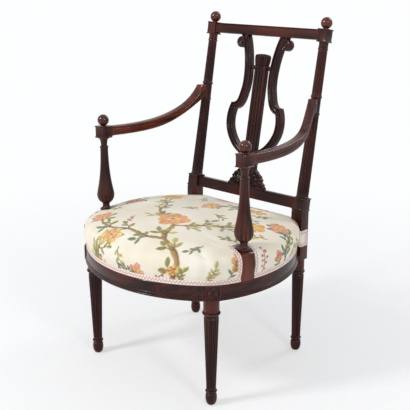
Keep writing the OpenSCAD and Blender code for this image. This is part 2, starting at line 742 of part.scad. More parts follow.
module lower_back_rail() {
    color(WOOD) stand() difference() {
        union() {
            difference() {
                at_column(0) translate([-stile_in, -lower_rail_t / 2, lower_block_s])
                    cube([2 * stile_in, lower_rail_t, lower_rail_h]);
                for (side = [-1, 1]) on_side(side) at_column()
                    squared(round_ledges(stile_w / 2, lower_block_s, -ledge_h));
            }
            for (side = [-1, 1]) on_side(side) lower_rail_tenon();
        }
        for (side = [-1, 1]) on_side(side) lower_rail_peg(glue_gap);
        base_tenon(glue_gap);
    }
}
module crest_rail() {
    color(WOOD) stand() difference() {
        union() {
            difference() {
                at_column(0) translate([-crest_in, -crest_t / 2, crest_s])
                    cube([2 * crest_in, crest_t, crest_h]);
                for (side = [-1, 1]) on_side(side) at_column()
                    squared(round_ledges(top_block_w / 2, top_block_s - ledge_h, top_of_block_s));
            }
            for (side = [-1, 1]) on_side(side) crest_tenon();
        }
        for (side = [-1, 1]) on_side(side) {
            crest_peg(glue_gap);
            branch_top_tenon(glue_gap);
        }
    }
}

// Lyre

function lyre_points(shares) = [for (p = shares) [p[0] * lyre_half_w, lower_rail_s + p[1] * lyre_h]];
module in_back(t) {
    at_column(0) rotate([90, 0, 0]) linear_extrude(t, center = true) children();
}
module lyre_branch(side) {
    volute = [volute_shares[0] * lyre_half_w, lower_rail_s + volute_shares[1] * lyre_h];
    color(WOOD) stand() on_side(side) difference() {
        union() {
            difference() {
                union() {
                    in_back(lyre_t) {
                        polygon(strip(lyre_points(low_scroll_shares), low_scroll_w, scroll_steps));
                        polygon(strip(lyre_points(high_scroll_shares), high_scroll_w, scroll_steps));
                        translate(volute) circle(volute_r);
                    }
                }
                at_column(0) translate([-beyond, -lyre_t, lower_rail_s])
                    cube([beyond + stem_half + glue_gap, 2 * lyre_t, lyre_h / 2]);
                at_column(0) translate([-cut, -lyre_t, 0])
                    cube([beyond, 2 * lyre_t, lower_rail_s + base_h + glue_gap]);
                at_column(0) translate([-cut, -lyre_t, crest_s]) cube([beyond, 2 * lyre_t, beyond]);
            }
            branch_top_tenon();
            branch_foot_tenon();
        }
        crossbar_bar(glue_gap);
    }
}
module lyre_stem() {
    foot = lower_rail_s + base_h;
    top = lower_rail_s + lyre_h * stem_top_share;
    reed_r = stem_w / reed_count / 2;
    head_lobes = reed_count + 1;
    color(WOOD) stand() difference() {
        union() {
            at_column(0) translate([-stem_half, -stem_t / 2 + reed_r / 2, foot])
                cube([stem_w, stem_t - reed_r, top - foot]);
            // a reed is a round bar of which less than half stands out of the stem
            for (i = [0:reed_count - 1], face = [-1, 1])
                at_column((i + 0.5) * 2 * reed_r - stem_half)
                    translate([0, face * (stem_t / 2 - reed_r), foot])
                        cylinder(h = top - foot, r = reed_r, $fn = 32);
            in_back(stem_t) translate([-head_w / 2, top]) square([head_w, head_h * 0.7]);
            in_back(stem_t) for (i = [0:head_lobes - 1])
                translate([(i + 0.5) * head_w / head_lobes - head_w / 2, top + head_h * 0.7])
                    circle(head_w / head_lobes / 2 + head_h * 0.12);
            stem_tenon();
        }
        crossbar_bar(glue_gap);
        for (side = [-1, 1]) on_side(side) branch_foot_tenon(glue_gap);
    }
}
module lyre_crossbar() {
    color(WOOD) stand() crossbar_bar();
}
module lyre_base() {
    points = [for (p = base_shares) [p[0] * base_half_w, lower_rail_s + p[1] * base_h]];
    color(WOOD) stand() difference() {
        union() {
            in_back(lower_rail_t * 0.9)
                polygon(concat(points, [for (p = back_to_front(points)) [-p[0], p[1]]]));
            base_tenon();
        }
        stem_tenon(glue_gap);
    }
}

// Arms and their supports

arm_top_edge = [[arm_start_y, arm_z + arm_h / 2],
    for (p = arm_top_shares) [arm_start_y + p[0] * arm_run, arm_z + arm_h / 2 + p[1] * arm_rise],
    [arm_head_point[0] - column_arm_r - arm_head_reach, arm_head_point[1]]];
arm_low_edge = [[arm_start_y, arm_z - arm_h / 2],
    for (p = arm_low_shares) [arm_start_y + p[0] * arm_run, arm_z - arm_h / 2 + p[1] * arm_rise],
    [arm_foot_point[0] - column_arm_r, arm_foot_point[1]]];
arm_plan = [[support_xy[0], arm_start_y],
    for (p = arm_plan_shares) [support_xy[0] - p[1] * arm_in, arm_start_y + p[0] * arm_run],
    [post_x, arm_joint[0]]];
arm_steps = 20;
module arm(side) {
    back = arm_joint[0];
    side_view = concat(curve(arm_low_edge, arm_steps),
                       [[back, arm_foot_point[1]], [back, arm_head_point[1]]],
                       back_to_front(curve(arm_top_edge, arm_steps)));
    color(WOOD_LIGHT) stand() on_side(side) difference() {
        union() {
            difference() {
                intersection() {
                    translate([post_x - arm_in, 0, 0]) rotate([90, 0, 90])
                        linear_extrude(3 * arm_in) polygon(side_view);
                    translate([0, 0, rail_top]) linear_extrude(beyond)
                        polygon(strip(arm_plan, arm_w, arm_steps));
                }
                at_column() cylinder(h = collar_s, r = column_arm_r + ledge * 1.3 + glue_gap);
                at_support() squared(round_ledges(arm_block_w / 2, arm_block_z, arm_block_top));
            }
            arm_front_tenon();
            arm_rear_tenon();
        }
        arm_screw(glue_gap);
    }
}
// The stump, whose top falls in a curve to its outer face
module stump_box(gap, out, top) {
    at_stump() translate([support_inset - stump_d - gap, -stump_w / 2 - gap, rail_top])
        cube([stump_d + gap + out, stump_w + 2 * gap, top - rail_top]);
}
stump_flat = 0.3;
module stump() {
    face = support_inset;
    at_stump() rotate([90, 0, 0]) linear_extrude(stump_w, center = true)
        polygon(concat([[face - stump_d, rail_top], [face, rail_top]],
                       tuck([face, stump_top - stump_drop],
                            [face - stump_d * (1 - stump_flat), stump_top], 8),
                       [[face - stump_d, stump_top]]));
}
disc_h = 5;
vase_profile = concat([[0, stump_top - disc_h], [disc_r - ledge, stump_top - disc_h]],
    bead(disc_r - ledge, stump_top + disc_h / 2, disc_h, ledge),
    back_to_front(tuck([vase_neck_r, vase_foot_z - ledge_h * 2],
                       [disc_r - ledge, stump_top + disc_h + glue_gap], 5)),
    bead(vase_neck_r, vase_foot_z - ledge_h, ledge_h * 1.5, ledge),
    swell([vase_neck_r, vase_foot_z + glue_gap], [vase_r, vase_z], 10),
    curve([[vase_r, vase_z], [vase_r, vase_top_z], [shaft_foot_r, shaft_foot_z],
           [shaft_top_r, arm_collar_z - ledge_h * 2]], 16),
    bead(shaft_top_r, arm_collar_z, ledge_h * 1.8, ledge),
    tuck([shaft_top_r, arm_collar_z + ledge_h * 1.5], [arm_block_w / 2 - ledge, arm_block_z], 6),
    [[arm_block_w / 2 - ledge, arm_block_z + cut], [0, arm_block_z + cut]]);
module arm_support(side) {
    color(WOOD) stand() on_side(side) difference() {
        union() {
            stump();
            stump_tenon();
            at_support() {
                turned(vase_profile);
                squared(ledged(arm_block_w / 2, arm_block_z, arm_block_top));
            }
        }
        arm_front_tenon(glue_gap);
        stump_screw(glue_gap);
        at_support() translate([0, 0, arm_block_top]) ball_dowel(glue_gap);
    }
}
// A ball on its neck, with the dowel that holds it
module finial() {
    translate([0, 0, ball_neck_h - ball_seat + ball_r]) sphere(ball_r);
    turned([[0, 0], [ball_neck_r, 0], [ball_neck_r - ledge * 0.5, ball_neck_h / 2],
            [ball_neck_r - ledge * 0.5, ball_neck_h + ledge], [0, ball_neck_h + ledge]]);
    ball_dowel();
}
module back_finial(side) {
    color(WOOD) stand() on_side(side) at_column() translate([0, 0, top_of_block_s]) finial();
}
module arm_finial(side) {
    color(WOOD_LIGHT) stand() on_side(side) at_support() translate([0, 0, arm_block_top]) finial();
}

// Blocks, screws and pegs

block_h = rail_h * 0.7;
block_z = rail_z + rail_h * 0.1;
block_leg = 62;
brace_t = 20;
rear_front_face = rear_rail_y - rear_rail_t / 2;
module corner_block_front() {
    difference() {
        intersection() {
            translate([0, front_cy, block_z]) cylinder(h = block_h, r = front_r - rail_t - glue_gap);
            translate([-side_cx, 0, block_z]) cylinder(h = block_h, r = side_r - rail_t - glue_gap);
            at_leg() translate([-leg_block_back - brace_t, -block_leg, block_z])
                cube([brace_t + leg_block_back + front_leg_inset, 2 * block_leg, block_h]);
        }
        at_leg() translate([-leg_block_back - glue_gap, -leg_face_r - glue_gap, 0])
            cube([beyond, leg_block_w + 2 * glue_gap, 2 * rail_top]);
        corner_screw_holes();
    }
}
module corner_block_rear() {
    difference() {
        intersection() {
            translate([-side_cx, 0, block_z]) cylinder(h = block_h, r = side_r - rail_t - glue_gap);
            translate([0, 0, block_z]) linear_extrude(block_h)
                polygon([[stile_in - block_leg, rear_front_face - glue_gap],
                         [stile_in - block_leg + brace_t, rear_front_face - glue_gap - block_leg / 2],
                         [stile_in, stile_front - block_leg], [stile_out, stile_front - block_leg],
                         [stile_out, rear_front_face - glue_gap]]);
        }
        translate([stile_in - glue_gap, stile_front - glue_gap, 0])
            cube([stile_w * 2, stile_w * 2, 2 * rail_top]);
        corner_screw_holes();
    }
}
module corner_blocks() {
    color(WOOD_LIGHT) stand() for (side = [-1, 1]) on_side(side) {
        corner_block_front();
        corner_block_rear();
    }
}
screw_l = 34;
// With a gap it is the hole, with the counterbore through which the screw is driven
module wood_screw(gap, l = screw_l) {
    cylinder(h = l + gap, r = screw_r + gap, $fn = 24);
    translate([0, 0, -gap])
        cylinder(h = screw_head_r - screw_r + gap, r1 = screw_head_r + gap, r2 = screw_r + gap, $fn = 24);
    if (gap > 0) translate([0, 0, -l]) cylinder(h = l, r = screw_head_r + gap, $fn = 24);
}
module corner_screw_places() {
    for (way = [-1, 1]) at_leg()
        translate([-leg_block_back - brace_t * 0.7, way * block_leg * 0.62, block_z + block_h / 2])
            rotate([0, 90, 0]) children();
    translate([stile_in - block_leg * 0.62, rear_front_face - brace_t * 0.8, block_z + block_h / 2])
        rotate([-90, 0, 0]) children();
    translate([stile_in - brace_t * 0.1, stile_front - block_leg * 0.62, block_z + block_h / 2])
        rotate([0, 90, 0]) children();
}
module corner_screw_holes() {
    corner_screw_places() wood_screw(glue_gap);
}
module corner_screws() {
    color(BRASS) stand() for (side = [-1, 1]) on_side(side) corner_screw_places() wood_screw(0);
}
// Screw from behind the post into the end of the arm, sunk below the face
module arm_screw(gap = 0) {
    middle = (low_ring_s + high_ring_s) / 2;
    at_column() translate([0, column_arm_r - ledge * 2, middle + arm_tenon_h * 0.68])
        rotate([90, 0, 0]) wood_screw(gap);
}
module arm_screws() {
    color(BRASS) stand() for (side = [-1, 1]) on_side(side) arm_screw();
}
// Screw from the inner face of the side rail into the tenon of the stump
module stump_screw(gap = 0) {
    at_stump() translate([support_inset - rail_t + ledge, 0, rail_mid_z + tenon_root])
        rotate([0, 90, 0]) wood_screw(gap, rail_t - 3 * ledge);
}
module stump_screws() {
    color(BRASS) stand() for (side = [-1, 1]) on_side(side) stump_screw();
}
module joint_pegs() {
    color(WOOD_LIGHT) stand() for (side = [-1, 1]) on_side(side) {
        leg_pegs();
        rail_peg_side();
        rail_peg_rear();
        lower_rail_peg();
        crest_peg();
    }
}

// Webbing, hessian and tacks

module wood_through_seat(gap) {
    for (side = [-1, 1]) on_side(side) {
        stump_box(gap, stump_d, rail_top + 2 * crown_h);
        translate([stile_in - gap, stile_front - gap, 0]) cube([2 * stile_w, 2 * stile_w, 2 * rail_top]);
    }
}
function tack_spread(c) = [for (k = [-1, 0, 1]) c + k * web_w * 0.36];
tack_line = rail_t / 2;
module tack(gap) {
    top = rail_top + 2 * web_t + hessian_t;
    translate([0, 0, top - tack_l]) cylinder(h = tack_l + gap, r = tack_r + gap, $fn = 24);
    if (gap == 0) translate([0, 0, top]) cylinder(h = tack_head_h, r = tack_head_r, $fn = 24);
}
module front_tacks(gap = 0) {
    for (s = long_strap_shares, x = tack_spread(s * strap_reach))
        translate([x, front_cy - sqrt(pow(front_r - tack_line, 2) - x * x), 0]) tack(gap);
}
module rear_tacks(gap = 0) {
    for (s = long_strap_shares, x = tack_spread(s * strap_reach)) translate([x, rear_rail_y, 0]) tack(gap);
}
module side_tacks(gap = 0) {
    for (s = cross_strap_shares, y = tack_spread(s * seat_front))
        translate([sqrt(pow(side_r - tack_line, 2) - y * y) - side_cx, y, 0]) tack(gap);
}
module tacks(gap) {
    front_tacks(gap);
    rear_tacks(gap);
    for (side = [-1, 1]) on_side(side) side_tacks(gap);
}
module webbing_tacks() {
    color(STEEL) stand() tacks(0);
}
module long_straps() {
    for (s = long_strap_shares) translate([s * strap_reach - web_w / 2, -beyond, rail_top])
        cube([web_w, 2 * beyond, web_t]);
}
module cross_straps() {
    for (s = cross_strap_shares) translate([-beyond, s * seat_front - web_w / 2, rail_top + web_t])
        cube([2 * beyond, web_w, web_t]);
}
// The ends of the cross straps are folded under, so that they lie on the side rails
module folded_ends() {
    difference() {
        for (s = cross_strap_shares) translate([-beyond, s * seat_front - web_w / 2, rail_top])
            cube([2 * beyond, web_w, web_t]);
        translate([0, 0, rail_z]) linear_extrude(2 * rail_h) side_ring_inside();
        translate([-strap_reach - web_w, -beyond, 0])
            cube([2 * (strap_reach + web_w), 2 * beyond, 2 * rail_top]);
    }
}
module side_ring_inside() {
    intersection() {
        translate([-side_cx, 0]) circle(side_r - rail_t, $fn = 180);
        translate([side_cx, 0]) circle(side_r - rail_t, $fn = 180);
    }
}
module seat_webbing() {
    color(JUTE) stand() difference() {
        intersection() {
            union() {
                long_straps();
                cross_straps();
                folded_ends();
            }
            translate([0, 0, rail_top - cut])
                linear_extrude(2 * web_t + 2 * cut) cushion_plan(strap_inset);
        }
        wood_through_seat(cover_t + 2 * soft_gap);
        tacks(glue_gap);
    }
}
module seat_hessian() {
    color(JUTE) stand() difference() {
        translate([0, 0, rail_top + 2 * web_t]) linear_extrude(hessian_t) cushion_plan(hessian_inset);
        wood_through_seat(cover_t + 2 * soft_gap);
        tacks(glue_gap);
    }
}

// Stuffing: plan radius by direction from the middle of the seat
function to_circle(c, r, a) = let (u = [cos(a), sin(a)], b = c * u) b + sqrt(b * b + r * r - c * c);
rear_reach = rear_rail_y + rear_rail_t / 2;
function plan_r(a, inset) = let (
        f = to_circle([0, front_cy], front_r - inset, a),
        p = to_circle([-side_cx, 0], side_r - inset, a),
        q = to_circle([side_cx, 0], side_r - inset, a),
        b = (rear_reach - inset) / max(sin(a), 0.001),
        m = min(f, p, q, b))
    m * pow(pow(m / f, cushion_corner) + pow(m / p, cushion_corner) + pow(m / q, cushion_corner)
            + pow(m / b, cushion_corner), -1 / cushion_corner);
module cushion_plan(inset) {
    n = cushion_turns;
    polygon([for (i = [0:n - 1]) let (a = 360 * i / n, r = plan_r(a, inset)) [r * cos(a), r * sin(a)]]);
}
// A crowned closed form: rings of points from the foot of the wall to the middle of the top, with
// the lowest ring carried down by the skirt
module stuffed(inset, foot_z, height, skirt = 0) {
    n = cushion_turns;
    rows = len(cushion_shares);
    points = concat(
        [for (c = cushion_shares, i = [0:n - 1]) let (a = 360 * i / n, r = plan_r(a, inset) * c[0])
            [r * cos(a), r * sin(a), foot_z - (c[1] > 0 ? 0 : skirt)
                + height * (c[1] + (c[2] - c[1]) * pow(max(sin(a), 0), 2))]],
        [[0, 0, foot_z + height]]);
    top = len(points) - 1;
    faces = concat(
        [[for (i = [0:n - 1]) i]],
        [for (j = [0:rows - 2], i = [0:n - 1]) let (a = j * n + i, b = j * n + (i + 1) % n)
            each [[a, a + n, b + n], [a, b + n, b]]],
        [for (i = [0:n - 1]) [top, (rows - 1) * n + (i + 1) % n, (rows - 1) * n + i]]);
    polyhedron(points, faces);
}
module seat_padding() {
    color(HORSEHAIR) stand() difference() {
        stuffed(cover_inset + cover_t + 2 * soft_gap, rail_top - cut,
                crown_h + cut - cover_t - 2 * soft_gap);
        translate([-beyond, -beyond, 0]) cube([2 * beyond, 2 * beyond, pad_z]);
        wood_through_seat(cover_t + 2 * soft_gap);
    }
}
module seat_cover() {
    color(CREAM) stand() {
        difference() {
            stuffed(cover_inset, rail_top, crown_h);
            stuffed(cover_inset + cover_t, rail_top, crown_h - cover_t, flap_h);
            wood_through_seat(soft_gap);
        }
        for (side = [-1, 1]) on_side(side) cover_flap();
    }
}
// The cover is carried round the outer side of the rear post, where it hangs a little lower
flap_x = stile_out + soft_gap;
flap_y = stile_front - soft_gap;
flap_join = stile_out - stile_w * 0.3;
flap_start = stile_in + stile_w * 0.2;
module cover_flap() {
    difference() {
        union() {
            translate([flap_start, flap_y - cover_t, rail_top])
                cube([flap_x + cover_t - flap_start, flap_l + cover_t, flap_h]);
            translate([flap_join, flap_y - cover_t, rail_top - flap_drop])
                cube([flap_x + cover_t - flap_join, flap_l + cover_t, flap_drop + cut]);
        }
        translate([0, flap_y, 0]) cube([flap_x, 2 * stile_w, 2 * rail_top]);
    }
}
module gimp_ring(r, from, to) {
    rotate(from) rotate_extrude(angle = to - from)
        translate([r - cover_inset + soft_gap, rail_top]) square([gimp_t, gimp_h]);
}
// Braid on the cover, all round the stump
module stump_gimp() {
    intersection() {
        difference() {
            stuffed(cover_inset - soft_gap - gimp_t, rail_top, crown_h + soft_gap + gimp_t);
            stuffed(cover_inset - soft_gap, rail_top - cut, crown_h + soft_gap + cut);
        }
        difference() {
            stump_box(edge_gimp_w, edge_gimp_w, rail_top + 2 * crown_h);
            stump_box(soft_gap, stump_d, rail_top + 2 * crown_h);
        }
    }
}
// Braid round the edges of the flap on the rear post
module flap_gimp() {
    high = flap_h + flap_drop;
    x = flap_x + cover_t + soft_gap;
    difference() {
        translate([x, flap_y - cover_t, rail_top - flap_drop]) cube([gimp_t, flap_l + cover_t, high]);
        translate([x - cut, flap_y - cover_t - cut, rail_top - flap_drop + edge_gimp_w])
            cube([gimp_t + 2 * cut, flap_l + cover_t + cut - edge_gimp_w, high - 2 * edge_gimp_w]);
    }
}
module gimp_braid() {
    front_end = atan2(corner[0], front_cy - corner[1]);
    first = atan2(corner[1], corner[0] + side_cx);
    stump_mid = support_turn - 90 - asin(stump_slide / side_r);
    stump_half = atan2(stump_w / 2 + soft_gap, side_r);
    last = asin((flap_y - cover_t - glue_gap) / (side_r - cover_inset));
    color(PINK) stand() {
        translate([0, front_cy, 0]) gimp_ring(front_r, -90 - front_end, -90 + front_end);
        for (side = [-1, 1]) on_side(side) {
            translate([-side_cx, 0, 0]) {
                gimp_ring(side_r, first, stump_mid - stump_half);
                gimp_ring(side_r, stump_mid + stump_half, last);
            }
            stump_gimp();
            flap_gimp();
        }
    }
}

front_leg(-1);  // front_left_leg
front_leg(1);  // front_right_leg
rear_post(-1);  // rear_left_post
rear_post(1);  // rear_right_post
front_rail();
side_rail(-1);  // left_rail
side_rail(1);  // right_rail
rear_rail();
crest_rail();
lower_back_rail();
arm(-1);  // left_arm
arm(1);  // right_arm
arm_support(-1);  // left_arm_support
arm_support(1);  // right_arm_support
back_finial(-1);  // back_left_finial
back_finial(1);  // back_right_finial
arm_finial(-1);  // arm_left_finial
arm_finial(1);  // arm_right_finial
lyre_branch(-1);  // lyre_left_branch
lyre_branch(1);  // lyre_right_branch
lyre_stem();
lyre_crossbar();
lyre_base();
corner_blocks();
corner_screws();
arm_screws();
stump_screws();
joint_pegs();
seat_webbing();
seat_hessian();
webbing_tacks();
seat_padding();
seat_cover();
gimp_braid();
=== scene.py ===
"""Looks of an open armchair: turned and fluted legs, a lyre back and a round stuffed seat.

Shapes are made in millimetres in the frame of the seat, whose Y is zero on the widest line of the
seat, and go to the chair's frame in metres with place(). +Z is up and the sitter faces -Y.
A shell is a closed surface, as its points and its faces.
"""
import math
from itertools import product

import bmesh
import bpy
import numpy as np
from mathutils import Matrix, Vector
from mathutils.kdtree import KDTree


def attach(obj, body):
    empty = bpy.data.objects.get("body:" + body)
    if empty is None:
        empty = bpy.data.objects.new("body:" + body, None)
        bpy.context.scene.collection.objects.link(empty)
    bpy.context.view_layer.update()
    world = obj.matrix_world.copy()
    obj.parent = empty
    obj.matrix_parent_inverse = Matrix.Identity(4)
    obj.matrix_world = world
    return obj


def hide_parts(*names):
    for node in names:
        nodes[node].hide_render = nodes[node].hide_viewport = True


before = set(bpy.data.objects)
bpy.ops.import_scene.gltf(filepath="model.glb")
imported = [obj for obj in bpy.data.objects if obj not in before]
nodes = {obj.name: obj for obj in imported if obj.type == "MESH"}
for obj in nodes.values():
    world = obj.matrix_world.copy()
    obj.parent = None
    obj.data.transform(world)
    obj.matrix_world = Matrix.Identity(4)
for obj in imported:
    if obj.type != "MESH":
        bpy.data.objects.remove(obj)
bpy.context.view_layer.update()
scene = bpy.context.scene

# ---------------------------------------------------------------- sizes, millimetres
SIDES = (("left", -1), ("right", 1))
Y_MID = 41.321
SEAT_W, FRONT_R, SIDE_R, SEAT_FRONT = 575.0, 350.0, 335.0, 264.0
FRONT_CY = FRONT_R - SEAT_FRONT
SIDE_CX = SIDE_R - SEAT_W / 2
RAIL_TOP, RAIL_H, RAIL_T = 334.5, 40.0, 27.0
RAIL_Z = RAIL_TOP - RAIL_H
RAIL_MID = RAIL_Z + RAIL_H / 2
LEG_TURN = math.radians(50.6)
LEG_OUT = np.array([math.sin(LEG_TURN), -math.cos(LEG_TURN)])
LEG_SIDE = np.array([-LEG_OUT[1], LEG_OUT[0]])
LEG_XY = np.array([219.559, -156.918])
LEG_FACE, LEG_BACK, LEG_HALF = 24.0, 19.5, 20.0
POST_X, POST_Y, STILE = 198.5, 240.3, 35.0
BEND_Z, RAKE, COLUMN_FOOT = 419.0, math.radians(10.3), 45.7
COLUMN_FOOT_R, COLUMN_RING_R, COLUMN_NECK_R = 17.0, 14.2, 12.6
LOW_RING, HIGH_RING, COLLAR = 232.0, 278.0, 407.0
TOP_BLOCK, TOP_BLOCK_H, TOP_BLOCK_W = 427.0, 33.0, 28.7
LEDGE, LEDGE_H = 1.6, 2.4
LOWER_RAIL_TOP, LOWER_RAIL_H, BACK_RAIL_T = -6.0, 31.0, 22.0
CREST_S, CREST_H = 429.25, 28.5
STILE_IN = POST_X - STILE / 2
LYRE_W, LYRE_H, LYRE_T = 100.0, 435.25, 20.0
SUPPORT_TURN = math.radians(75.8)
SUPPORT_R = SIDE_R - 23.3
SUPPORT_XY = np.array([SUPPORT_R * math.sin(SUPPORT_TURN) - SIDE_CX, -SUPPORT_R * math.cos(SUPPORT_TURN)])
SUPPORT_TOP = 409.0
ARM_BLOCK_Z, ARM_BLOCK_H, ARM_BLOCK_W = 619.0, 33.0, 32.0
ARM_W, ARM_H = 24.0, 28.0
STUMP_W, STUMP_D, STUMP_SLIDE, STUMP_FACE = 40.0, 45.0, 2.5, 23.3
STUMP_COS, STUMP_SIN = math.cos(SUPPORT_TURN - math.pi / 2), math.sin(SUPPORT_TURN - math.pi / 2)
CROWN_H, COVER_INSET, SEAT_REACH, PAD_Z, SOFT_GAP = 96.0, 2.0, 283.0, 338.4, 0.3
FLUTES, FLUTE_SHARE, FLUTE_DEEP = 12, 0.74, 0.9


# ---------------------------------------------------------------- points and curves
def col(*values):
    """Points from their coordinates, any of which may be one number for all."""
    return np.stack(np.broadcast_arrays(*values), -1)


def unit(v):
    return v / np.linalg.norm(v, axis=-1, keepdims=True)


def dome(x):
    """Half circle over -1 to 1."""
    return np.sqrt(np.clip(1 - x ** 2, 0, 1))


def hump(x):
    return np.exp(-x ** 2)


def steps(a, b, x):
    """Smooth step from 0 at a to 1 at b."""
    t = np.clip((x - a) / (b - a), 0, 1)
    return t * t * (3 - 2 * t)


def bez(p, t):
    """Cubic curve through the first and last of four points."""
    p = [np.asarray(q, float) for q in p]
    t = np.asarray(t, float)[:, None]
    return p[0] * (1 - t) ** 3 + 3 * p[1] * (1 - t) ** 2 * t + 3 * p[2] * (1 - t) * t * t + p[3] * t ** 3


def between(a, b, step):
    """Points from a to b, no further apart than step."""
    a, b = np.array(a), np.array(b)
    n = max(1, math.ceil(np.linalg.norm(b - a) / step))
    return [tuple(a + (b - a) * i / n) for i in range(n + 1)]


def distinct(points):
    """The points without those that repeat the one before."""
    out = points[:1]
    for p in points[1:]:
        if abs(p[0] - out[-1][0]) + abs(p[1] - out[-1][1]) > 1e-4:
            out.append(p)
    return out


def softened(points, r):
    """The polyline with its corners rounded a little."""
    out = [points[0]]
    for a, b, c in zip(points[:-2], points[1:-1], points[2:]):
        a, b, c = (np.asarray(p, float) for p in (a, b, c))
        la, lc = np.linalg.norm(a - b), np.linalg.norm(c - b)
        if la < 1e-6 or lc < 1e-6:
            continue
        if np.dot((b - a) / la, (c - b) / lc) > 0.94:
            out.append(tuple(b))
            continue
        p, q = b + (a - b) / la * min(r, la * 0.4), b + (c - b) / lc * min(r, lc * 0.4)
        out += [tuple(p), tuple((p + 2 * b + q) / 4), tuple(q)]
    return out + [points[-1]]


def near_ends(profile, spots, step=0.55, reach=6.0):
    """Closer rows round the flutes' ends."""
    out = [profile[0]]
    for a, b in zip(profile[:-1], profile[1:]):
        close = any(abs((a[1] + b[1]) / 2 - s) < reach for s in spots)
        n = max(1, math.ceil(abs(b[1] - a[1]) / step)) if close else 1
        out += [(a[0] + (b[0] - a[0]) * i / n, a[1] + (b[1] - a[1]) * i / n) for i in range(1, n + 1)]
    return out


def bead(r, z, h, proud, n=8):
    """Half round that stands proud of a radius."""
    return [(r + proud * math.sin(math.pi * i / n), z - h / 2 * math.cos(math.pi * i / n))
            for i in range(n + 1)]


def swell(a, b, n=8):
    """Quarter round that leaves a across the axis and reaches b along it."""
    turns = [math.pi / 2 * i / n for i in range(n + 1)]
    return [(a[0] + (b[0] - a[0]) * math.sin(t), a[1] + (b[1] - a[1]) * (1 - math.cos(t))) for t in turns]


def tuck(a, b, n=8):
    """Quarter hollow that leaves a along the axis and reaches b across it."""
    turns = [math.pi / 2 * i / n for i in range(n + 1)]
    return [(a[0] + (b[0] - a[0]) * (1 - math.cos(t)), a[1] + (b[1] - a[1]) * math.sin(t)) for t in turns]


# ---------------------------------------------------------------- frames of the parts
def place(points):
    return (np.asarray(points, float).reshape(-1, 3) - (0, Y_MID, 0)) * 0.001


def on_leg(p):
    """From the frame of a front leg, whose x looks out of the corner, to the seat's."""
    return np.column_stack([LEG_XY + p[:, :1] * LEG_OUT + p[:, 1:2] * LEG_SIDE, p[:, 2]])


def on_column(p, x=POST_X):
    """From the frame of a raked post, as x, depth and distance up, to the seat's."""
    up = COLUMN_FOOT + p[:, 2]
    return col(p[:, 0] + x, POST_Y + up * math.sin(RAKE) + p[:, 1] * math.cos(RAKE),
               BEND_Z + up * math.cos(RAKE) - p[:, 1] * math.sin(RAKE))


def on_back(p):
    """The same from the middle of the back."""
    return on_column(p, 0)


def on_rear_leg(p):
    return p + (POST_X, POST_Y, 0)


def on_support(p):
    return p + (*SUPPORT_XY, 0)


def on_stump(p):
    """From the stump's frame, whose x points out across the side rail, to the seat's."""
    x, y = p[:, 0], p[:, 1] - STUMP_SLIDE
    return col(SUPPORT_XY[0] + STUMP_COS * x - STUMP_SIN * y,
               SUPPORT_XY[1] + STUMP_SIN * x + STUMP_COS * y, p[:, 2])


def off_stump(p):
    """From the seat's frame to the stump's x and y."""
    x, y = p[:, 0] - SUPPORT_XY[0], p[:, 1] - SUPPORT_XY[1]
    return STUMP_COS * x + STUMP_SIN * y, -STUMP_SIN * x + STUMP_COS * y + STUMP_SLIDE


# ---------------------------------------------------------------- shells
def grid_faces(rows, cols, wrap):
    i, j = np.meshgrid(np.arange(rows - 1), np.arange(cols if wrap else cols - 1), indexing="ij")
    a, b = i * cols + j, i * cols + (j + 1) % cols
    return np.stack([a, b, b + cols, a + cols], -1).reshape(-1, 4).tolist()


def rim(rows, cols):
    """Numbers of the points round the edge of a grid."""
    return (list(range(cols)) + [i * cols + cols - 1 for i in range(1, rows)]
            + [(rows - 1) * cols + j for j in range(cols - 2, -1, -1)]
            + [i * cols for i in range(rows - 2, 0, -1)])


def tube(rings):
    """Shell over rings of points, each a loop that turns left seen from the far end."""
    rings = np.asarray(rings, float)
    m, k = rings.shape[:2]
    points = np.vstack([rings.reshape(-1, 3), rings[0].mean(0), rings[-1].mean(0)])
    j = np.arange(k)
    low = col(m * k, (j + 1) % k, j)
    high = col(m * k + 1, (m - 1) * k + j, (m - 1) * k + (j + 1) % k)
    return points, grid_faces(m, k, True) + low.tolist() + high.tolist()


def slab(front, back):
    """Shell between two grids of points; seen from the front, columns go right and rows up."""
    rows, cols = front.shape[:2]
    far = rows * cols
    faces = grid_faces(rows, cols, False)
    faces += [[far + i for i in q[::-1]] for q in faces]
    loop = rim(rows, cols)
    faces += [[b, a, far + a, far + b] for a, b in zip(loop, loop[1:] + loop[:1])]
    return np.vstack([front.reshape(-1, 3), back.reshape(-1, 3)]), faces


def lathe(profile, turns, *reliefs):
    p = np.asarray(profile, float)
    r, z, a = np.broadcast_arrays(p[:, :1], p[:, 1:], turns[None, :])
    r = r + sum(relief(z, a, r) for relief in reliefs)
    return tube(col(r * np.cos(a), r * np.sin(a), z))


def square_ring(half, r, n=3, half_y=None):
    """Corners of a rounded rectangle, turning left."""
    hy = half if half_y is None else half_y
    out = []
    for k, (sx, sy) in enumerate(((1, -1), (1, 1), (-1, 1), (-1, -1))):
        for i in range(n + 1):
            a = math.pi / 2 * (k - 1 + i / n)
            out.append((sx * (half - r) + r * math.cos(a), sy * (hy - r) + r * math.sin(a)))
    return np.array(out)


def tower(profile, r=1.0, thinner=0.0):
    """Square post over a profile of half widths and heights, with its arrises rounded."""
    return tube([col(*square_ring(half, min(r, half * 0.4), half_y=half - thinner).T, z)
                 for half, z in profile])


def ledged(half, z0, z1):
    """Profile of a block with a ledge at its foot and its head."""
    foot = [(half + LEDGE - 0.8, -0.01), (half + LEDGE, 0.4), (half + LEDGE, LEDGE_H),
            (half + 0.2, LEDGE_H + 0.8), (half, LEDGE_H * 2)]
    return softened([(w, z0 + h) for w, h in foot] + [(w, z1 - h) for w, h in foot[::-1]], 0.5)


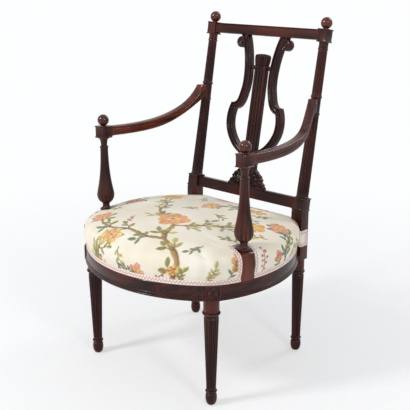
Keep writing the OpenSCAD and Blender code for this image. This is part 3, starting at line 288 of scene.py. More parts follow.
def rounded_sections(outline, r, stations):
    """A closed outline with rounded corners, at each station drawn in by a factor: station, across, up."""
    p = np.asarray(softened(outline + [outline[0]], r))[1:]
    middle = p.mean(0)
    return [(at, *(middle + (p - middle) * k).T) for at, k in stations]


def merged(*shells):
    points, faces, count = [], [], 0
    for p, f in shells:
        points.append(np.asarray(p, float).reshape(-1, 3))
        faces += [tuple(int(i) + count for i in q) for q in f]
        count += len(points[-1])
    return np.vstack(points), faces


def put(where, *shells):
    points, faces = merged(*shells)
    return where(points), faces


def mirrored(shell, side):
    points, faces = shell
    return shell if side > 0 else (points * (-1, 1, 1), [f[::-1] for f in faces])


# ---------------------------------------------------------------- meshes and pieces
def mesh_of(name, shell):
    mesh = bpy.data.meshes.new(name)
    mesh.from_pydata(place(shell[0]).tolist(), [], shell[1])
    return mesh


def outward(mesh):
    """Turns the faces of closed shells to look out."""
    work = bmesh.new()
    work.from_mesh(mesh)
    bmesh.ops.recalc_face_normals(work, faces=work.faces)
    work.to_mesh(mesh)
    work.free()
    return mesh


def shown(name, data):
    thing = bpy.data.objects.new(name, data)
    scene.collection.objects.link(thing)
    return thing


def dress(mesh, material, sharp=38.0):
    """Smooth shading but for edges over an angle in degrees, and one material."""
    mesh.shade_smooth()
    mesh.set_sharp_from_angle(angle=math.radians(sharp))
    mesh.materials.clear()
    mesh.materials.append(material)


def make(name, shell, material, stands_for, side=1, sharp=38.0):
    piece = shown(name, outward(mesh_of(name, mirrored(shell, side))))
    dress(piece.data, material, sharp)
    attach(piece, "root")
    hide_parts(stands_for)
    return piece


def painted(piece, colours, flat=None):
    """Point colours, and where the point lies in the flat cloth, kept on the mesh."""
    mesh = piece.data
    layer = mesh.color_attributes.new("print", "FLOAT_COLOR", "POINT")
    rgba = np.ones((len(mesh.vertices), 4), np.float32)
    rgba[:, :3] = colours
    layer.data.foreach_set("color", rgba.ravel())
    if flat is not None:
        vectors = mesh.attributes.new("flat", "FLOAT_VECTOR", "POINT")
        data = np.zeros((len(mesh.vertices), 3), np.float32)
        data[:, :2] = flat
        vectors.data.foreach_set("vector", data.ravel())


# ---------------------------------------------------------------- materials
def srgb(r, g, b):
    return tuple((c / 12.92 if c <= 0.04045 else ((c + 0.055) / 1.055) ** 2.4)
                 for c in (r / 255, g / 255, b / 255)) + (1.0,)


def colour_of(value):
    """A colour as it is, or a grey from one number."""
    return value if isinstance(value, tuple) else (value, value, value, 1.0)


class Nodes:
    """Builds a node tree; values are numbers, colours, or outputs to link."""

    def __init__(self, tree):
        self.tree = tree
        tree.nodes.clear()

    def feed(self, socket, value):
        if hasattr(value, "is_linked"):
            self.tree.links.new(value, socket)
        else:
            socket.default_value = value

    def add(self, kind, **values):
        node = self.tree.nodes.new(kind)
        for key, value in values.items():
            if hasattr(node, key):
                setattr(node, key, value)
            else:
                self.feed(node.inputs[key.replace("_", " ")], value)
        return node

    def coords(self, scale, at=(0, 0, 0)):
        """The object's own coordinates, scaled and shifted."""
        scale = scale if isinstance(scale, tuple) else (scale, scale, scale)
        here = self.add("ShaderNodeTexCoord").outputs["Object"]
        return self.add("ShaderNodeMapping", Vector=here, Location=at, Scale=scale).outputs[0]

    def noise(self, scale, detail, rough=0.5, distortion=0.0, at=(0, 0, 0)):
        return self.add("ShaderNodeTexNoise", Vector=self.coords(scale, at), Scale=1.0, Detail=detail,
                        Roughness=rough, Distortion=distortion).outputs["Fac"]

    def weave(self, vector, distortion):
        """Threads that cross, in X and Y."""
        warp, weft = (self.add("ShaderNodeTexWave", wave_type="BANDS", bands_direction=way, Vector=vector,
                               Scale=1.0, Distortion=distortion).outputs["Color"] for way in "XY")
        return self.times(1.0, warp, weft)

    def ramp(self, value, *stops):
        node = self.add("ShaderNodeValToRGB", Fac=value)
        elements = node.color_ramp.elements
        while len(elements) < len(stops):
            elements.new(0.5)
        for element, (at, colour) in zip(elements, stops):
            element.position = at
            element.color = colour_of(colour)
        return node.outputs["Color"]

    def mix(self, kind, factor, a, b):
        node = self.add("ShaderNodeMix", data_type="RGBA", blend_type=kind)
        for socket, value in ((0, factor), (6, a), (7, b)):
            self.feed(node.inputs[socket], colour_of(value) if socket and isinstance(value, float) else value)
        return node.outputs[2]

    def times(self, factor, a, b):
        return self.mix("MULTIPLY", factor, a, b)

    def math(self, operation, a, b):
        node = self.add("ShaderNodeMath", operation=operation)
        self.feed(node.inputs[0], a)
        self.feed(node.inputs[1], b)
        return node.outputs[0]

    def range(self, value, low, high, **values):
        return self.add("ShaderNodeMapRange", To_Min=low, To_Max=high, Value=value, **values).outputs["Result"]

    def bump(self, height, distance, strength, **under):
        return self.add("ShaderNodeBump", Strength=strength, Distance=distance, Height=height,
                        **under).outputs["Normal"]

    def blend(self, factor, a, b):
        """One shader, and another where the factor is 1."""
        node = self.add("ShaderNodeMixShader", Fac=factor)
        self.feed(node.inputs[1], a)
        self.feed(node.inputs[2], b)
        return node.outputs[0]


class Surface(Nodes):
    """A material."""

    def __init__(self, name):
        self.material = bpy.data.materials.new(name)
        self.material.use_nodes = True
        super().__init__(self.material.node_tree)
        self.shader = self.add("ShaderNodeBsdfPrincipled")
        self.out = self.add("ShaderNodeOutputMaterial", Surface=self.shader.outputs["BSDF"])

    def set(self, **values):
        for key, value in values.items():
            self.feed(self.shader.inputs[key.replace("_", " ")], value)
        return self.material


def wood(name, deep, mid, bright, axis, seed, rough=(0.22, 0.4), coat=0.35, worn=0.45):
    """Polished wood whose grain runs along one axis."""
    n = Surface(name)
    deep, mid, bright = srgb(*deep), srgb(*mid), srgb(*bright)

    def along(length, across):
        return tuple(length if k == axis else across for k in range(3))
    streaks = n.noise(along(2.6, 30.0), 7.0, 0.62, 0.9, (seed, seed * 0.7, -seed))
    blotch = n.noise(7.0, 3.0, 0.5, 0.3, (seed * 2, 0, seed))
    pores = n.noise(along(16.0, 520.0), 3.0, 0.6)
    pointed = n.add("ShaderNodeNewGeometry").outputs["Pointiness"]
    colour = n.ramp(streaks, (0.28, deep), (0.5, mid), (0.76, bright))
    colour = n.times(0.8, colour, n.ramp(blotch, (0.3, 0.62), (0.7, 1.16)))
    colour = n.times(0.5, colour, n.ramp(pores, (0.33, 0.5), (0.5, 1.0)))
    edge = n.times(1.0, n.ramp(pointed, (0.505, 0.0), (0.56, 1.0)), n.ramp(blotch, (0.42, 0.15), (0.66, 1.0)))
    colour = n.mix("MIX", n.times(1.0, edge, worn), colour, bright)
    # painted shade: the colour is darkened in hollows, flutes and creases, where the pointiness is low
    colour = n.times(0.85, colour, n.ramp(pointed, (0.45, 0.12), (0.497, 1.0)))
    normal = n.bump(pores, 0.00012, 0.5, Normal=n.bump(streaks, 0.0006, 0.35))
    return n.set(Base_Color=colour, Roughness=n.range(blotch, *rough), Normal=normal, Coat_Weight=coat,
                 Coat_Roughness=0.12, IOR=1.5, Specular_IOR_Level=0.1)


def metal(name, colour, rough):
    n = Surface(name)
    grit, dull = n.noise(900.0, 3.0), n.noise(60.0, 3.0)
    tarnish = tuple(c * 0.55 for c in colour[:3]) + (1.0,)
    return n.set(Base_Color=n.ramp(dull, (0.3, tarnish), (0.65, colour)), Metallic=1.0,
                 Roughness=n.range(grit, rough - 0.06, rough + 0.12), Normal=n.bump(grit, 0.00005, 0.6))


def woven(name, low, high, pitch):
    """Coarse plain weave in the plane of the seat."""
    n = Surface(name)
    threads = n.weave(n.coords(2 * math.pi / pitch / 20.0), 1.2)
    stain = n.ramp(n.noise(14.0, 4.0), (0.3, 0.7), (0.7, 1.05))
    return n.set(Base_Color=n.times(0.6, n.ramp(threads, (0.05, low), (0.7, high)), stain),
                 Normal=n.bump(threads, 0.0004, 0.8), Roughness=0.9, Sheen_Weight=0.15)


def printed_cotton():
    """The print is painted on the mesh, and the weave runs in the flat cloth."""
    n = Surface("printed_cotton")
    paint = n.add("ShaderNodeVertexColor", layer_name="print").outputs["Color"]
    flat = n.add("ShaderNodeAttribute", attribute_name="flat").outputs["Vector"]
    threads = n.weave(n.add("ShaderNodeMapping", Vector=flat, Scale=(0.33, 0.33, 0.33)).outputs[0], 0.6)
    slub, tone = n.noise(90.0, 4.0), n.noise(11.0, 3.0)
    colour = n.times(1.0, paint, n.ramp(threads, (0.0, 0.9), (0.6, 1.0)))
    colour = n.times(0.5, colour, n.ramp(tone, (0.3, srgb(240, 232, 214)), (0.65, 1.0)))
    normal = n.bump(n.mix("MIX", 0.35, threads, slub), 0.00018, 0.7)
    return n.set(Base_Color=colour, Normal=normal, Roughness=0.82, Sheen_Weight=0.18, Sheen_Roughness=0.4)


def braid_cotton():
    n = Surface("braid")
    paint = n.add("ShaderNodeVertexColor", layer_name="print").outputs["Color"]
    fibre = n.noise(700.0, 3.0)
    return n.set(Base_Color=n.times(0.6, paint, n.ramp(fibre, (0.3, 0.72), (0.6, 1.0))),
                 Normal=n.bump(fibre, 0.0002, 0.7), Roughness=0.75, Sheen_Weight=0.3)


LYRE_WOOD = wood("mahogany_lyre", (12, 4, 4), (35, 13, 11), (84, 36, 27), 2, 7.0, coat=0.25)
BACK_WOOD = wood("mahogany_back", (12, 4, 4), (37, 13, 11), (80, 33, 25), 0, 8.0, coat=0.15)
DARK_WOOD = [wood("mahogany_%d" % a, (18, 6, 6), (50, 17, 13), (104, 42, 29), a, 3.0 + a) for a in range(3)]
# lit and shaded copies of one arm wood: the first is painted lighter, as if lit, and the second darker, as if
# in shade
LIT_ARM_MAHOGANY = wood("mahogany_arm", (38, 13, 8), (88, 35, 19), (144, 68, 38), 1, 9.0)
SHADED_ARM_MAHOGANY = wood("mahogany_arm_dark", (24, 8, 7), (62, 23, 15), (112, 49, 31), 1, 10.0)
SUPPORT_WOOD = wood("mahogany_support", (22, 8, 6), (64, 23, 16), (122, 52, 35), 2, 11.0, coat=0.4)
BALL_WOOD = wood("mahogany_ball", (40, 13, 10), (78, 30, 20), (128, 60, 39), 2, 12.0, (0.14, 0.22), 0.6)
BEECH = wood("beech", (150, 112, 74), (184, 146, 102), (208, 174, 130), 2, 5.0, (0.5, 0.7), 0.0, 0.1)
BRASS = metal("brass", srgb(188, 154, 88), 0.3)
STEEL = metal("steel", srgb(108, 106, 106), 0.42)
WEBBING = woven("webbing", srgb(104, 82, 50), srgb(176, 148, 98), 0.0026)
HESSIAN = woven("hessian", srgb(112, 90, 58), srgb(190, 162, 112), 0.0019)
COTTON = printed_cotton()
BRAID = braid_cotton()

# ---------------------------------------------------------------- legs and posts
FLUTE_PITCH = 2 * math.pi / FLUTES


def flute_turns(inner=10, ridge=3):
    """Angles round a shaft, closer where the flutes turn steep."""
    half = FLUTE_PITCH * FLUTE_SHARE / 2
    hollow = [half * math.sin(math.pi / 2 * t) for t in np.linspace(-1, 1, inner + 1)]
    land = list(np.linspace(half, FLUTE_PITCH - half, ridge + 1))[1:-1]
    return np.array([(i + 0.5) * FLUTE_PITCH + a for i in range(FLUTES) for a in hollow + land])


TURNS = flute_turns()


def flutes(z0, z1):
    """Hollows with round ends between two heights."""
    def relief(z, a, r):
        half = r * FLUTE_PITCH * FLUTE_SHARE / 2
        u = (np.mod(a, FLUTE_PITCH) - FLUTE_PITCH / 2) * r
        v = np.maximum(0, np.maximum(z0 + half - z, z - (z1 - half)))
        return -FLUTE_DEEP * half * dome(np.sqrt(u * u + v * v) / half)
    return relief


def leg_profile(shaft_r, shaft_top, ring_z, ring_proud, r, top):
    """Radius and height, from the foot to the square block."""
    ring_h = 7.0
    low, high = ring_z - ring_h / 2, ring_z + ring_h / 2
    p = [(5.2, 0.0)] + swell((6.0, 0.3), (15.0, 20.0), 12) + swell((13.0, 32.0), (15.0, 20.0))[::-1][1:]
    p += [(12.0, 33.2), (12.0, 35.6)] + bead(12.4, 39.2, 5.6, 3.1)[1:] + [(12.6, 42.6)]
    p += between((12.5, 44.5), (shaft_r, shaft_top), 3.2)
    p += [(shaft_r - 0.3, shaft_top + 0.5), (shaft_r - 1, shaft_top + 1.8), (shaft_r - 1, low - 1.8)]
    p += [(r - 0.5, low - 1.0)] + bead(r - 0.5, ring_z, ring_h, ring_proud)
    return distinct(p + [(r - 0.5, high + 0.6), (r, high + 1.8), (r, top)])


def turned_leg(shaft_r, shaft_top, *rest):
    profile = near_ends(leg_profile(shaft_r, shaft_top, *rest), (47.0, shaft_top - 3.0))
    return lathe(profile, TURNS, flutes(46.0, shaft_top - 1.5))


def rosette(y, z):
    """Height of the carved flower in its sunk panel, over the face of a leg block."""
    half = RAIL_H / 2 - 3.4
    panel = -1.8 * steps(0, 0.9, np.minimum(half - np.abs(y), half - np.abs(z)))
    rho, phi = np.hypot(y, z), np.arctan2(z, y)
    outer = 2.3 * dome((rho - 9.3) / 3.9) * (0.42 + 0.58 * np.abs(np.cos(5 * phi)))
    inner = 2.2 * dome((rho - 4.9) / 2.6) * (0.4 + 0.6 * np.abs(np.sin(4 * phi)))
    return panel + np.maximum.reduce([outer, inner, 3.0 * dome(rho / 2.7), 0.9 * hump((rho - 14.0) / 0.7)])


def leg_block():
    ring = square_ring(LEG_HALF, 0.9, half_y=RAIL_H / 2)
    body = tube([col(x, *(ring * k + (0, RAIL_MID)).T)
                 for x, k in ((-LEG_BACK, 0.98), (-LEG_BACK + 0.8, 1.0), (LEG_FACE - 2.6, 1.0))])
    y, z = np.meshgrid(np.linspace(-LEG_HALF, LEG_HALF, 91), np.linspace(-RAIL_H / 2, RAIL_H / 2, 91))
    edge = np.minimum(LEG_HALF - np.abs(y), RAIL_H / 2 - np.abs(z))
    x = LEG_FACE + rosette(y, z) - 0.6 * (1 - steps(0, 0.9, edge))
    return merged(body, slab(col(x, y, z + RAIL_MID), col(LEG_FACE - 3.4, y, z + RAIL_MID)))


def front_leg():
    return put(on_leg, turned_leg(19.2, 243.0, 255.5, 3.4, 20.4, RAIL_Z + 0.5), leg_block())


def column_r(s):
    """Radius of the raked column, which tapers up to the rings and on to the collar."""
    if s < LOW_RING:
        return COLUMN_FOOT_R + (COLUMN_RING_R - COLUMN_FOOT_R) * s / LOW_RING
    return COLUMN_RING_R + (COLUMN_NECK_R - COLUMN_RING_R) * (s - LOW_RING) / (COLLAR - LOW_RING)


def column_profile():
    def at(s):
        return column_r(s), s
    p = [(18.0, -2.4), (18.6, -1.8), (18.6, -0.4), (18.0, 0.3), (17.2, 0.8), (COLUMN_FOOT_R, 2.4)]
    p += between(at(7.0), at(LOW_RING - 7), 3.5)
    p += bead(column_r(LOW_RING - 5) + 0.1, LOW_RING - 4.2, 2.2, 0.8)
    p += bead(column_r(LOW_RING) + 0.1, LOW_RING, 6.0, 1.7) + [at(LOW_RING + 5), at(HIGH_RING - 5)]
    p += bead(column_r(HIGH_RING) + 0.1, HIGH_RING, 6.0, 2.1)
    p += bead(column_r(HIGH_RING + 5) + 0.1, HIGH_RING + 4.4, 2.2, 0.8)
    p += between(at(HIGH_RING + 7), at(COLLAR - 7), 3.5)
    p += bead(COLUMN_NECK_R, COLLAR - 1.2, 4.6, 1.7) + bead(COLUMN_NECK_R, COLLAR + 4.0, 2.6, 1.0)
    return distinct(p + tuck((COLUMN_NECK_R, COLLAR + 7), (13.9, TOP_BLOCK - LEDGE_H + 0.2), 6))


def rear_post():
    half, sin, cos = STILE / 2, math.sin(RAKE), math.cos(RAKE)
    x, y = square_ring(half, 1.2).T
    up = COLUMN_FOOT + LOWER_RAIL_TOP - LOWER_RAIL_H + LEDGE_H
    bend = [col(x * k, y * k, z) for z, k in ((283.0, 0.965), (283.6, 0.99), (284.4, 1.0))]
    bend += [col(x, y, BEND_Z - y * math.tan(RAKE / 2)),
             col(x, y * cos + up * sin, BEND_Z - y * sin + up * cos)]
    column = lathe(near_ends(column_profile(), (10.0, LOW_RING - 10, HIGH_RING + 10, COLLAR - 10)), TURNS,
                   flutes(8.5, LOW_RING - 8), flutes(HIGH_RING + 8, COLLAR - 8))
    return merged(put(on_rear_leg, turned_leg(16.8, 236.0, 246.0, 2.7, half - 0.4, 284.0), tube(bend)),
                  put(on_column, tower(ledged(half, LOWER_RAIL_TOP - LOWER_RAIL_H, -LEDGE_H)), column,
                      tower(ledged(TOP_BLOCK_W / 2, TOP_BLOCK - LEDGE_H, TOP_BLOCK + TOP_BLOCK_H))))


for word, side in SIDES:
    make("front_leg_" + word, front_leg(), DARK_WOOD[2], "front_%s_leg" % word, side)
    make("rear_post_" + word, rear_post(), DARK_WOOD[2], "rear_%s_post" % word, side)


# ---------------------------------------------------------------- seat rails
def arc_rail(x, y, r, start, end):
    """Curved rail; its section runs from its inner top edge round to its outer one."""
    section = [(r - RAIL_T, RAIL_TOP), (r - RAIL_T, RAIL_Z + 0.8), (r - RAIL_T + 0.8, RAIL_Z),
               (r + 0.3, RAIL_Z)]
    section += bead(r, RAIL_Z + 3.0, 6.0, 2.9, 10)[1:]
    section += tuck((r + 1.8, RAIL_Z + 6.4), (r - 0.2, RAIL_Z + 12.0), 6)
    section += [(r - 0.2, RAIL_Z + 12.8), (r, RAIL_Z + 13.4), (r, RAIL_TOP - 4.2), (r + 0.35, RAIL_TOP - 3.8),
                (r + 0.35, RAIL_TOP - 1.0), (r - 0.5, RAIL_TOP)]
    reach, z = np.array(section).T
    return tube([col(x + reach * math.cos(a), y + reach * math.sin(a), z)
                 for a in np.linspace(start, end, 120)])


def block_angle(x, y, r, way):
    """Angle, round a rail's centre, at which the rail's middle meets the leg block."""
    a = np.linspace(-math.pi / 2, 0.0, 4001)
    p = col(x + (r - 6.0) * np.cos(a), y + (r - 6.0) * np.sin(a)) - LEG_XY
    miss = np.abs(p @ LEG_SIDE - way * (LEG_HALF - 0.6))
    return a[np.where(p @ LEG_OUT > 0, miss, np.inf).argmin()]


FRONT_END = block_angle(0, FRONT_CY, FRONT_R, -1)
SIDE_START = block_angle(-SIDE_CX, 0, SIDE_R, 1)
SIDE_END = math.asin((POST_Y - STILE / 2 + 0.6) / SIDE_R)
make("front_rail_curved", arc_rail(0, FRONT_CY, FRONT_R, -math.pi - FRONT_END, FRONT_END), DARK_WOOD[0],
     "front_rail")
for word, side in SIDES:
    make("side_rail_" + word, arc_rail(-SIDE_CX, 0, SIDE_R, SIDE_START, SIDE_END), DARK_WOOD[1],
         word + "_rail", side)


def back_rail(s0, h, lip, reach):
    """Rail across the back, with a sunk line under its top edge; its section is depth and height."""
    half, line = BACK_RAIL_T / 2, s0 + h - lip
    rear = [(half, s0 + 0.6), (half, line - 1.2), (half - 0.9, line - 0.6), (half - 0.9, line + 0.3),
            (half + 0.2, line + 0.7), (half + 0.2, s0 + h)]
    front = [(-y, z) for y, z in rear[::-1]]
    stations = ((-reach, 0.96), (-reach + 0.4, 1.0), (reach - 0.4, 1.0), (reach, 0.96))
    sections = rounded_sections(front[-1:] + rear + front[:-1], 0.5, stations)
    return put(on_back, tube([col(*p) for p in sections]))


make("crest", back_rail(CREST_S, CREST_H, 3.2, POST_X - TOP_BLOCK_W / 2 + 0.3), BACK_WOOD, "crest_rail")
make("lower_rail", back_rail(LOWER_RAIL_TOP - LOWER_RAIL_H, LOWER_RAIL_H, 3.0, STILE_IN + 0.3), BACK_WOOD,
     "lower_back_rail")


# ---------------------------------------------------------------- lyre
def lyre_points(*shares):
    return np.array(shares) * (LYRE_W, LYRE_H) + (0, LOWER_RAIL_TOP)


LOW_SCROLL = lyre_points((0.12, 0.223), (0.53, 0.228), (0.774, 0.322), (0.845, 0.365), (0.94, 0.422),
                         (0.9, 0.49), (0.805, 0.534))
HIGH_SCROLL = lyre_points((0.89, 0.525), (0.581, 0.522), (0.55, 0.579), (0.48, 0.644), (0.375, 0.745),
                          (0.53, 0.955), (0.755, 1.02))
VOLUTE, VOLUTE_R = lyre_points((0.805, 0.952))[0], 16.0
# turned eye of a volute: share of its radius, and height over its face
EYE = ((0.02, 0.9), (0.16, 0.7), (0.28, -0.3), (0.33, -1.7), (0.42, -1.9), (0.52, -1.2), (0.6, -1.9),
       (0.7, -1.7), (0.8, -0.2), (0.88, 0.1), (0.96, -0.5), (1, -2.2))
BASE_HALF, BASE_H = 64.0, 74.0
STEM_FOOT, STEM_TOP = LOWER_RAIL_TOP + BASE_H, LOWER_RAIL_TOP + LYRE_H * 0.795
STEM_HALF, STEM_T, REEDS, REED_DEEP = 20.5, 20.0, 4, 4.2


def moulded_ring(w, t, roll=2.4, sink=3.6, back_sink=1.4, n=12):
    """Section of a scroll: a hollow between two rolls, in front and behind; across and depth."""
    e = np.concatenate([roll * (1 - np.cos(np.linspace(0, math.pi, 9)))[:-1], np.linspace(2 * roll, w / 2, n)])

    def height(deep):
        inner = np.clip((e - 2 * roll) / (w / 2 - 2 * roll), 0, 1)
        rolls = t / 2 - roll + np.sqrt(np.clip(roll ** 2 - (e - roll) ** 2, 0, None))
        return np.where(e < 2 * roll, rolls, t / 2 - roll - deep * np.sin(inner * math.pi / 2) ** 0.7)
    front, back, left = height(sink), height(back_sink), e - w / 2
    return np.vstack([col(left, -front), col(-left, -front)[::-1][1:],
                      col(-left, back), col(left, back)[::-1][1:]])


def scroll(points, size, t0, t1):
    """The section swept along two cubics, each of which takes half of the way."""
    ts = np.linspace(t0, t1, 150)
    c = np.where((ts < 0.5)[:, None], bez(points[:4], np.clip(ts * 2, 0, 1)),
                 bez(points[3:], np.clip(ts * 2 - 1, 0, 1)))
    rings = []
    for (x, z), (dx, dz), t in zip(c, unit(np.gradient(c, axis=0)), ts):
        across, depth = moulded_ring(*size(t)).T
        rings.append(col(x + across * dz, depth, z - across * dx))
    return tube(rings)


def lyre_branch():
    def low(t):
        return 19.4 + 1.4 * steps(0.05, 0.4, t), LYRE_T + 0.8

    def high(t):
        return 21.0 + 1.6 * steps(0.8, 1, t) - 1.0 * (1 - steps(0.0, 0.06, t)), LYRE_T + 1.2

    def stand_up(p):
        return col(p[:, 0] + VOLUTE[0], -p[:, 2], p[:, 1] + VOLUTE[1])
    face = [(VOLUTE_R * share, LYRE_T / 2 + h) for share, h in EYE]
    eye = lathe([(x, -z) for x, z in face] + face[::-1], np.linspace(0, 2 * math.pi, 97)[:-1])
    return put(on_back, scroll(LOW_SCROLL, low, 0.035, 1.0), scroll(HIGH_SCROLL, high, 0.0, 0.992),
               put(stand_up, eye))


def reeded_ring():
    r = STEM_HALF / REEDS
    arc = r * np.cos(np.linspace(0, math.pi, 11))[:-1]
    x = np.concatenate([r * (2 * i + 1) - STEM_HALF - arc for i in range(REEDS)] + [[STEM_HALF]])
    inside = np.mod(x + STEM_HALF, 2 * r) - r
    inside[-1] = r
    y = STEM_T / 2 - REED_DEEP + REED_DEEP * dome(inside / r)
    return np.vstack([col(x, -y), col(x, y)[::-1]])


def stem_head():
    """Lobes that fan out over the stem."""
    lobes, rows, cols = 6, 44, 6 * 16 + 1
    u, v = np.meshgrid(np.linspace(-1, 1, cols), np.linspace(0, 1, rows))
    inside = np.mod((u + 1) / 2 * lobes, 1) * 2 - 1
    inside[:, -1] = 1
    bulging = dome(inside)
    x = u * (20.6 + 3.2 * np.sin(v * math.pi / 2))
    z = STEM_TOP + 1.0 + v * (29.5 + 3.0 * (1 - u ** 2) + 5.8 * bulging)
    d = 4.6 + 1.0 * np.sin(v * math.pi * 0.9) + 5.2 * bulging * (0.35 + 0.65 * v)
    d = d * np.sqrt(np.clip(1 - (np.clip(v - 0.84, 0, 1) / 0.165) ** 2, 0.02, 1))
    return slab(col(x, -d, z), col(x, d, z))


def lyre_stem():
    heights = (STEM_FOOT - 0.5, STEM_FOOT + 90, STEM_FOOT + 180, STEM_TOP)
    bands = [(w, STEM_TOP + s) for w, s in ((20.9, -7.5), (21.8, -7.0), (21.8, -4.6), (21.0, -4.0),
                                            (21.0, -3.2), (22.6, -2.4), (22.9, 0.4), (22.2, 1.6))]
    return put(on_back, tube([col(*reeded_ring().T, s) for s in heights]),
               tower(softened(bands, 0.4), 1.2, thinner=10.9), stem_head())


def crossbar():
    rings = []
    for x in np.linspace(-42.5, 42.5, 71):
        y, z = square_ring(4.2, 1.6, n=4, half_y=3.0 + 2.4 * hump((abs(x) - 27.5) / 6.5)).T
        rings.append(col(x, y, z + STEM_TOP))
    return put(on_back, tube(rings))


def lyre_base():
    """Carved foot of the lyre: leaves that rise from a plinth, with a scroll on each shoulder."""
    outline = np.array([(1, 0), (1, 0.09), (0.93, 0.2), (0.83, 0.3), (0.84, 0.38), (0.72, 0.5), (0.6, 0.6),
                        (0.46, 0.68), (0.4, 0.8), (0.42, 0.93), (0.42, 1)])
    v, u = np.meshgrid(np.linspace(0, 1, 121), np.linspace(-1, 1, 161), indexing="ij")
    w = np.interp(v, outline[:, 1], outline[:, 0]) * BASE_HALF
    scallop = 1.0 + 0.035 * np.sin(v * 2 * math.pi * 6.5) * steps(0.1, 0.2, v) * (1 - steps(0.85, 0.95, v))
    x, z = u * w * scallop, v * BASE_H
    away = np.abs(x)
    relief = np.zeros_like(x)
    for cx, cz, r in ((47.0, 15.5, 12.0), (44.0, 33.0, 8.0), (28.0, 45.0, 9.0)):
        rho, phi = np.hypot(away - cx, z - cz), np.arctan2(z - cz, away - cx)
        turn = np.cos(phi + rho * 2 * math.pi / (r * 0.55))
        curl = (1.5 + 1.3 * turn) * (1 - steps(r * 0.8, r * 1.15, rho))
        relief = np.maximum(relief, curl + 1.4 * hump(rho / 2.0))
    fan, reach = np.arctan2(z - 4.0, away + 2.0), np.hypot(away, z - 4.0)
    leaf = 1.4 + 1.3 * np.cos(fan * 22 + 0.04 * reach) * steps(6, 16, reach)
    relief = np.maximum(relief, leaf * (1 - steps(30 + 16 * fan, 38 + 18 * fan, reach)))
    rib = 2.2 * hump(away / 2.6) + 1.5 * hump((away - 6.5) / 1.6)
    relief = np.maximum(relief, rib * steps(8, 14, z))
    plinth, line = 1 - steps(5.4, 6.8, z), 1.2 * hump((z - 9.0) / 1.0)
    rounded = dome(1 - np.minimum(1 - np.abs(u), 0.12) / 0.12)
    top = 1 - steps(0.965, 1.0, v) * 0.3
    d = (5.0 + 1.0 * (1 - v) + relief * rounded + 1.8 * rounded + line) * top
    d = d * (1 - plinth) + 10.4 * plinth
    z = z + LOWER_RAIL_TOP - 0.2
    return put(on_back, slab(col(x, -d, z), col(x, d * 0.94, z)))


for word, side in SIDES:
    make("lyre_branch_" + word, lyre_branch(), LYRE_WOOD, "lyre_%s_branch" % word, side)
make("lyre_reeded_stem", lyre_stem(), LYRE_WOOD, "lyre_stem")
make("lyre_crosspiece", crossbar(), DARK_WOOD[0], "lyre_crossbar")
make("lyre_carved_base", lyre_base(), LYRE_WOOD, "lyre_base")

# ---------------------------------------------------------------- arms and their supports
ARM_Z = ARM_BLOCK_Z + ARM_BLOCK_H / 2
ARM_START = SUPPORT_XY[1] + ARM_BLOCK_W / 2


def post_point(s):
    """Depth and height of a place up the column."""
    return np.array([POST_Y + (COLUMN_FOOT + s) * math.sin(RAKE), BEND_Z + (COLUMN_FOOT + s) * math.cos(RAKE)])


JOINT = post_point((LOW_RING + HIGH_RING) / 2)
FOOT_POINT, HEAD_POINT = post_point(LOW_RING + 3.5), post_point(HIGH_RING - 3.5)
RUN, RISE, IN = JOINT[0] - ARM_START, JOINT[1] - ARM_Z, SUPPORT_XY[0] - POST_X


def arm_edge(lift, *shares):
    return [(ARM_START + run * RUN, ARM_Z + lift + rise * RISE) for run, rise in shares]


PLATE_Y = HEAD_POINT[0] - COLUMN_RING_R - 15.6
TOP_EDGE = arm_edge(ARM_H / 2, (0, 0), (0.65, -0.23), (0.81, 0.21)) + [(PLATE_Y, HEAD_POINT[1])]
LOW_EDGE = arm_edge(-ARM_H / 2, (0, 0), (0.68, -0.21), (0.69, 0.19))
LOW_EDGE += [(FOOT_POINT[0] - COLUMN_RING_R, FOOT_POINT[1])]
PLAN = [(SUPPORT_XY[0] - inward * IN, ARM_START + run * RUN)
        for inward, run in ((0, 0), (0.07, 0.85), (0.57, 0.68))] + [(POST_X, JOINT[0])]
ARM_SECTION = np.array([(0, -1), (0.42, -0.99), (0.72, -0.93), (0.88, -0.8), (0.96, -0.58), (1.0, -0.28),
                        (1.0, 0.18), (0.97, 0.36), (0.90, 0.42), (0.865, 0.46), (0.875, 0.52), (0.95, 0.58), (0.985, 0.7),
                        (0.95, 0.84), (0.82, 0.94), (0.58, 0.985), (0.3, 1.0), (0, 1)])


def arm():
    """The arm, squarer where it meets the block and at the plate on the column."""
    top, low, plan = (bez(edge, np.linspace(0, 1, 400)) for edge in (TOP_EDGE, LOW_EDGE, PLAN))
    turn = np.gradient(plan[:, 0]) / np.gradient(plan[:, 1])
    ys = np.concatenate([ARM_START + np.array([-0.2, 0.4]), ARM_START + np.linspace(1, 9.6, 5),
                         ARM_START + np.array([10.4, 11.2]), np.linspace(ARM_START + 13, PLATE_Y - 1.4, 120),
                         PLATE_Y + np.array([-0.5, -0.2, 0.6]),
                         np.linspace(PLATE_Y + 2.0, JOINT[0] - 13.0, 12)])
    loop = np.vstack([ARM_SECTION * (-1, 1), ARM_SECTION[::-1][1:-1]])
    rings = []
    for y in ys:
        zt, zl = np.interp(y, top[:, 0], top[:, 1]), np.interp(y, low[:, 0], low[:, 1])
        x, slope = np.interp(y, plan[:, 1], plan[:, 0]), np.interp(y, plan[:, 1], turn)
        plate, rear = 1 - steps(9.8, 10.9, y - ARM_START), steps(-0.5, 0.2, y - PLATE_Y)
        half = ARM_W / 2 * math.sqrt(1 + slope * slope) + 0.9 * plate + 0.5 * rear
        zt, zl = zt + 1.0 * plate + 0.4 * rear, zl - 0.9 * plate
        square = max(plate, rear) * 0.8
        boxy = np.sign(loop) * np.abs(loop) ** (1 - 0.55 * square)
        across, up = (loop * (1 - square) + boxy * square).T
        rings.append(col(x + across * half, y, (zt + zl) / 2 + up * (zt - zl) / 2))
    return tube(rings)


LOBES, LOBE_DEEP, LOBE_FOOT, LOBE_TOP = 14, 3.3, 432.0, 459.0
VASE_R, VASE_Z, SHAFT_R, SHAFT_Z, NECK_R = 24.2, 456.0, 10.9, 588.0, 15.4


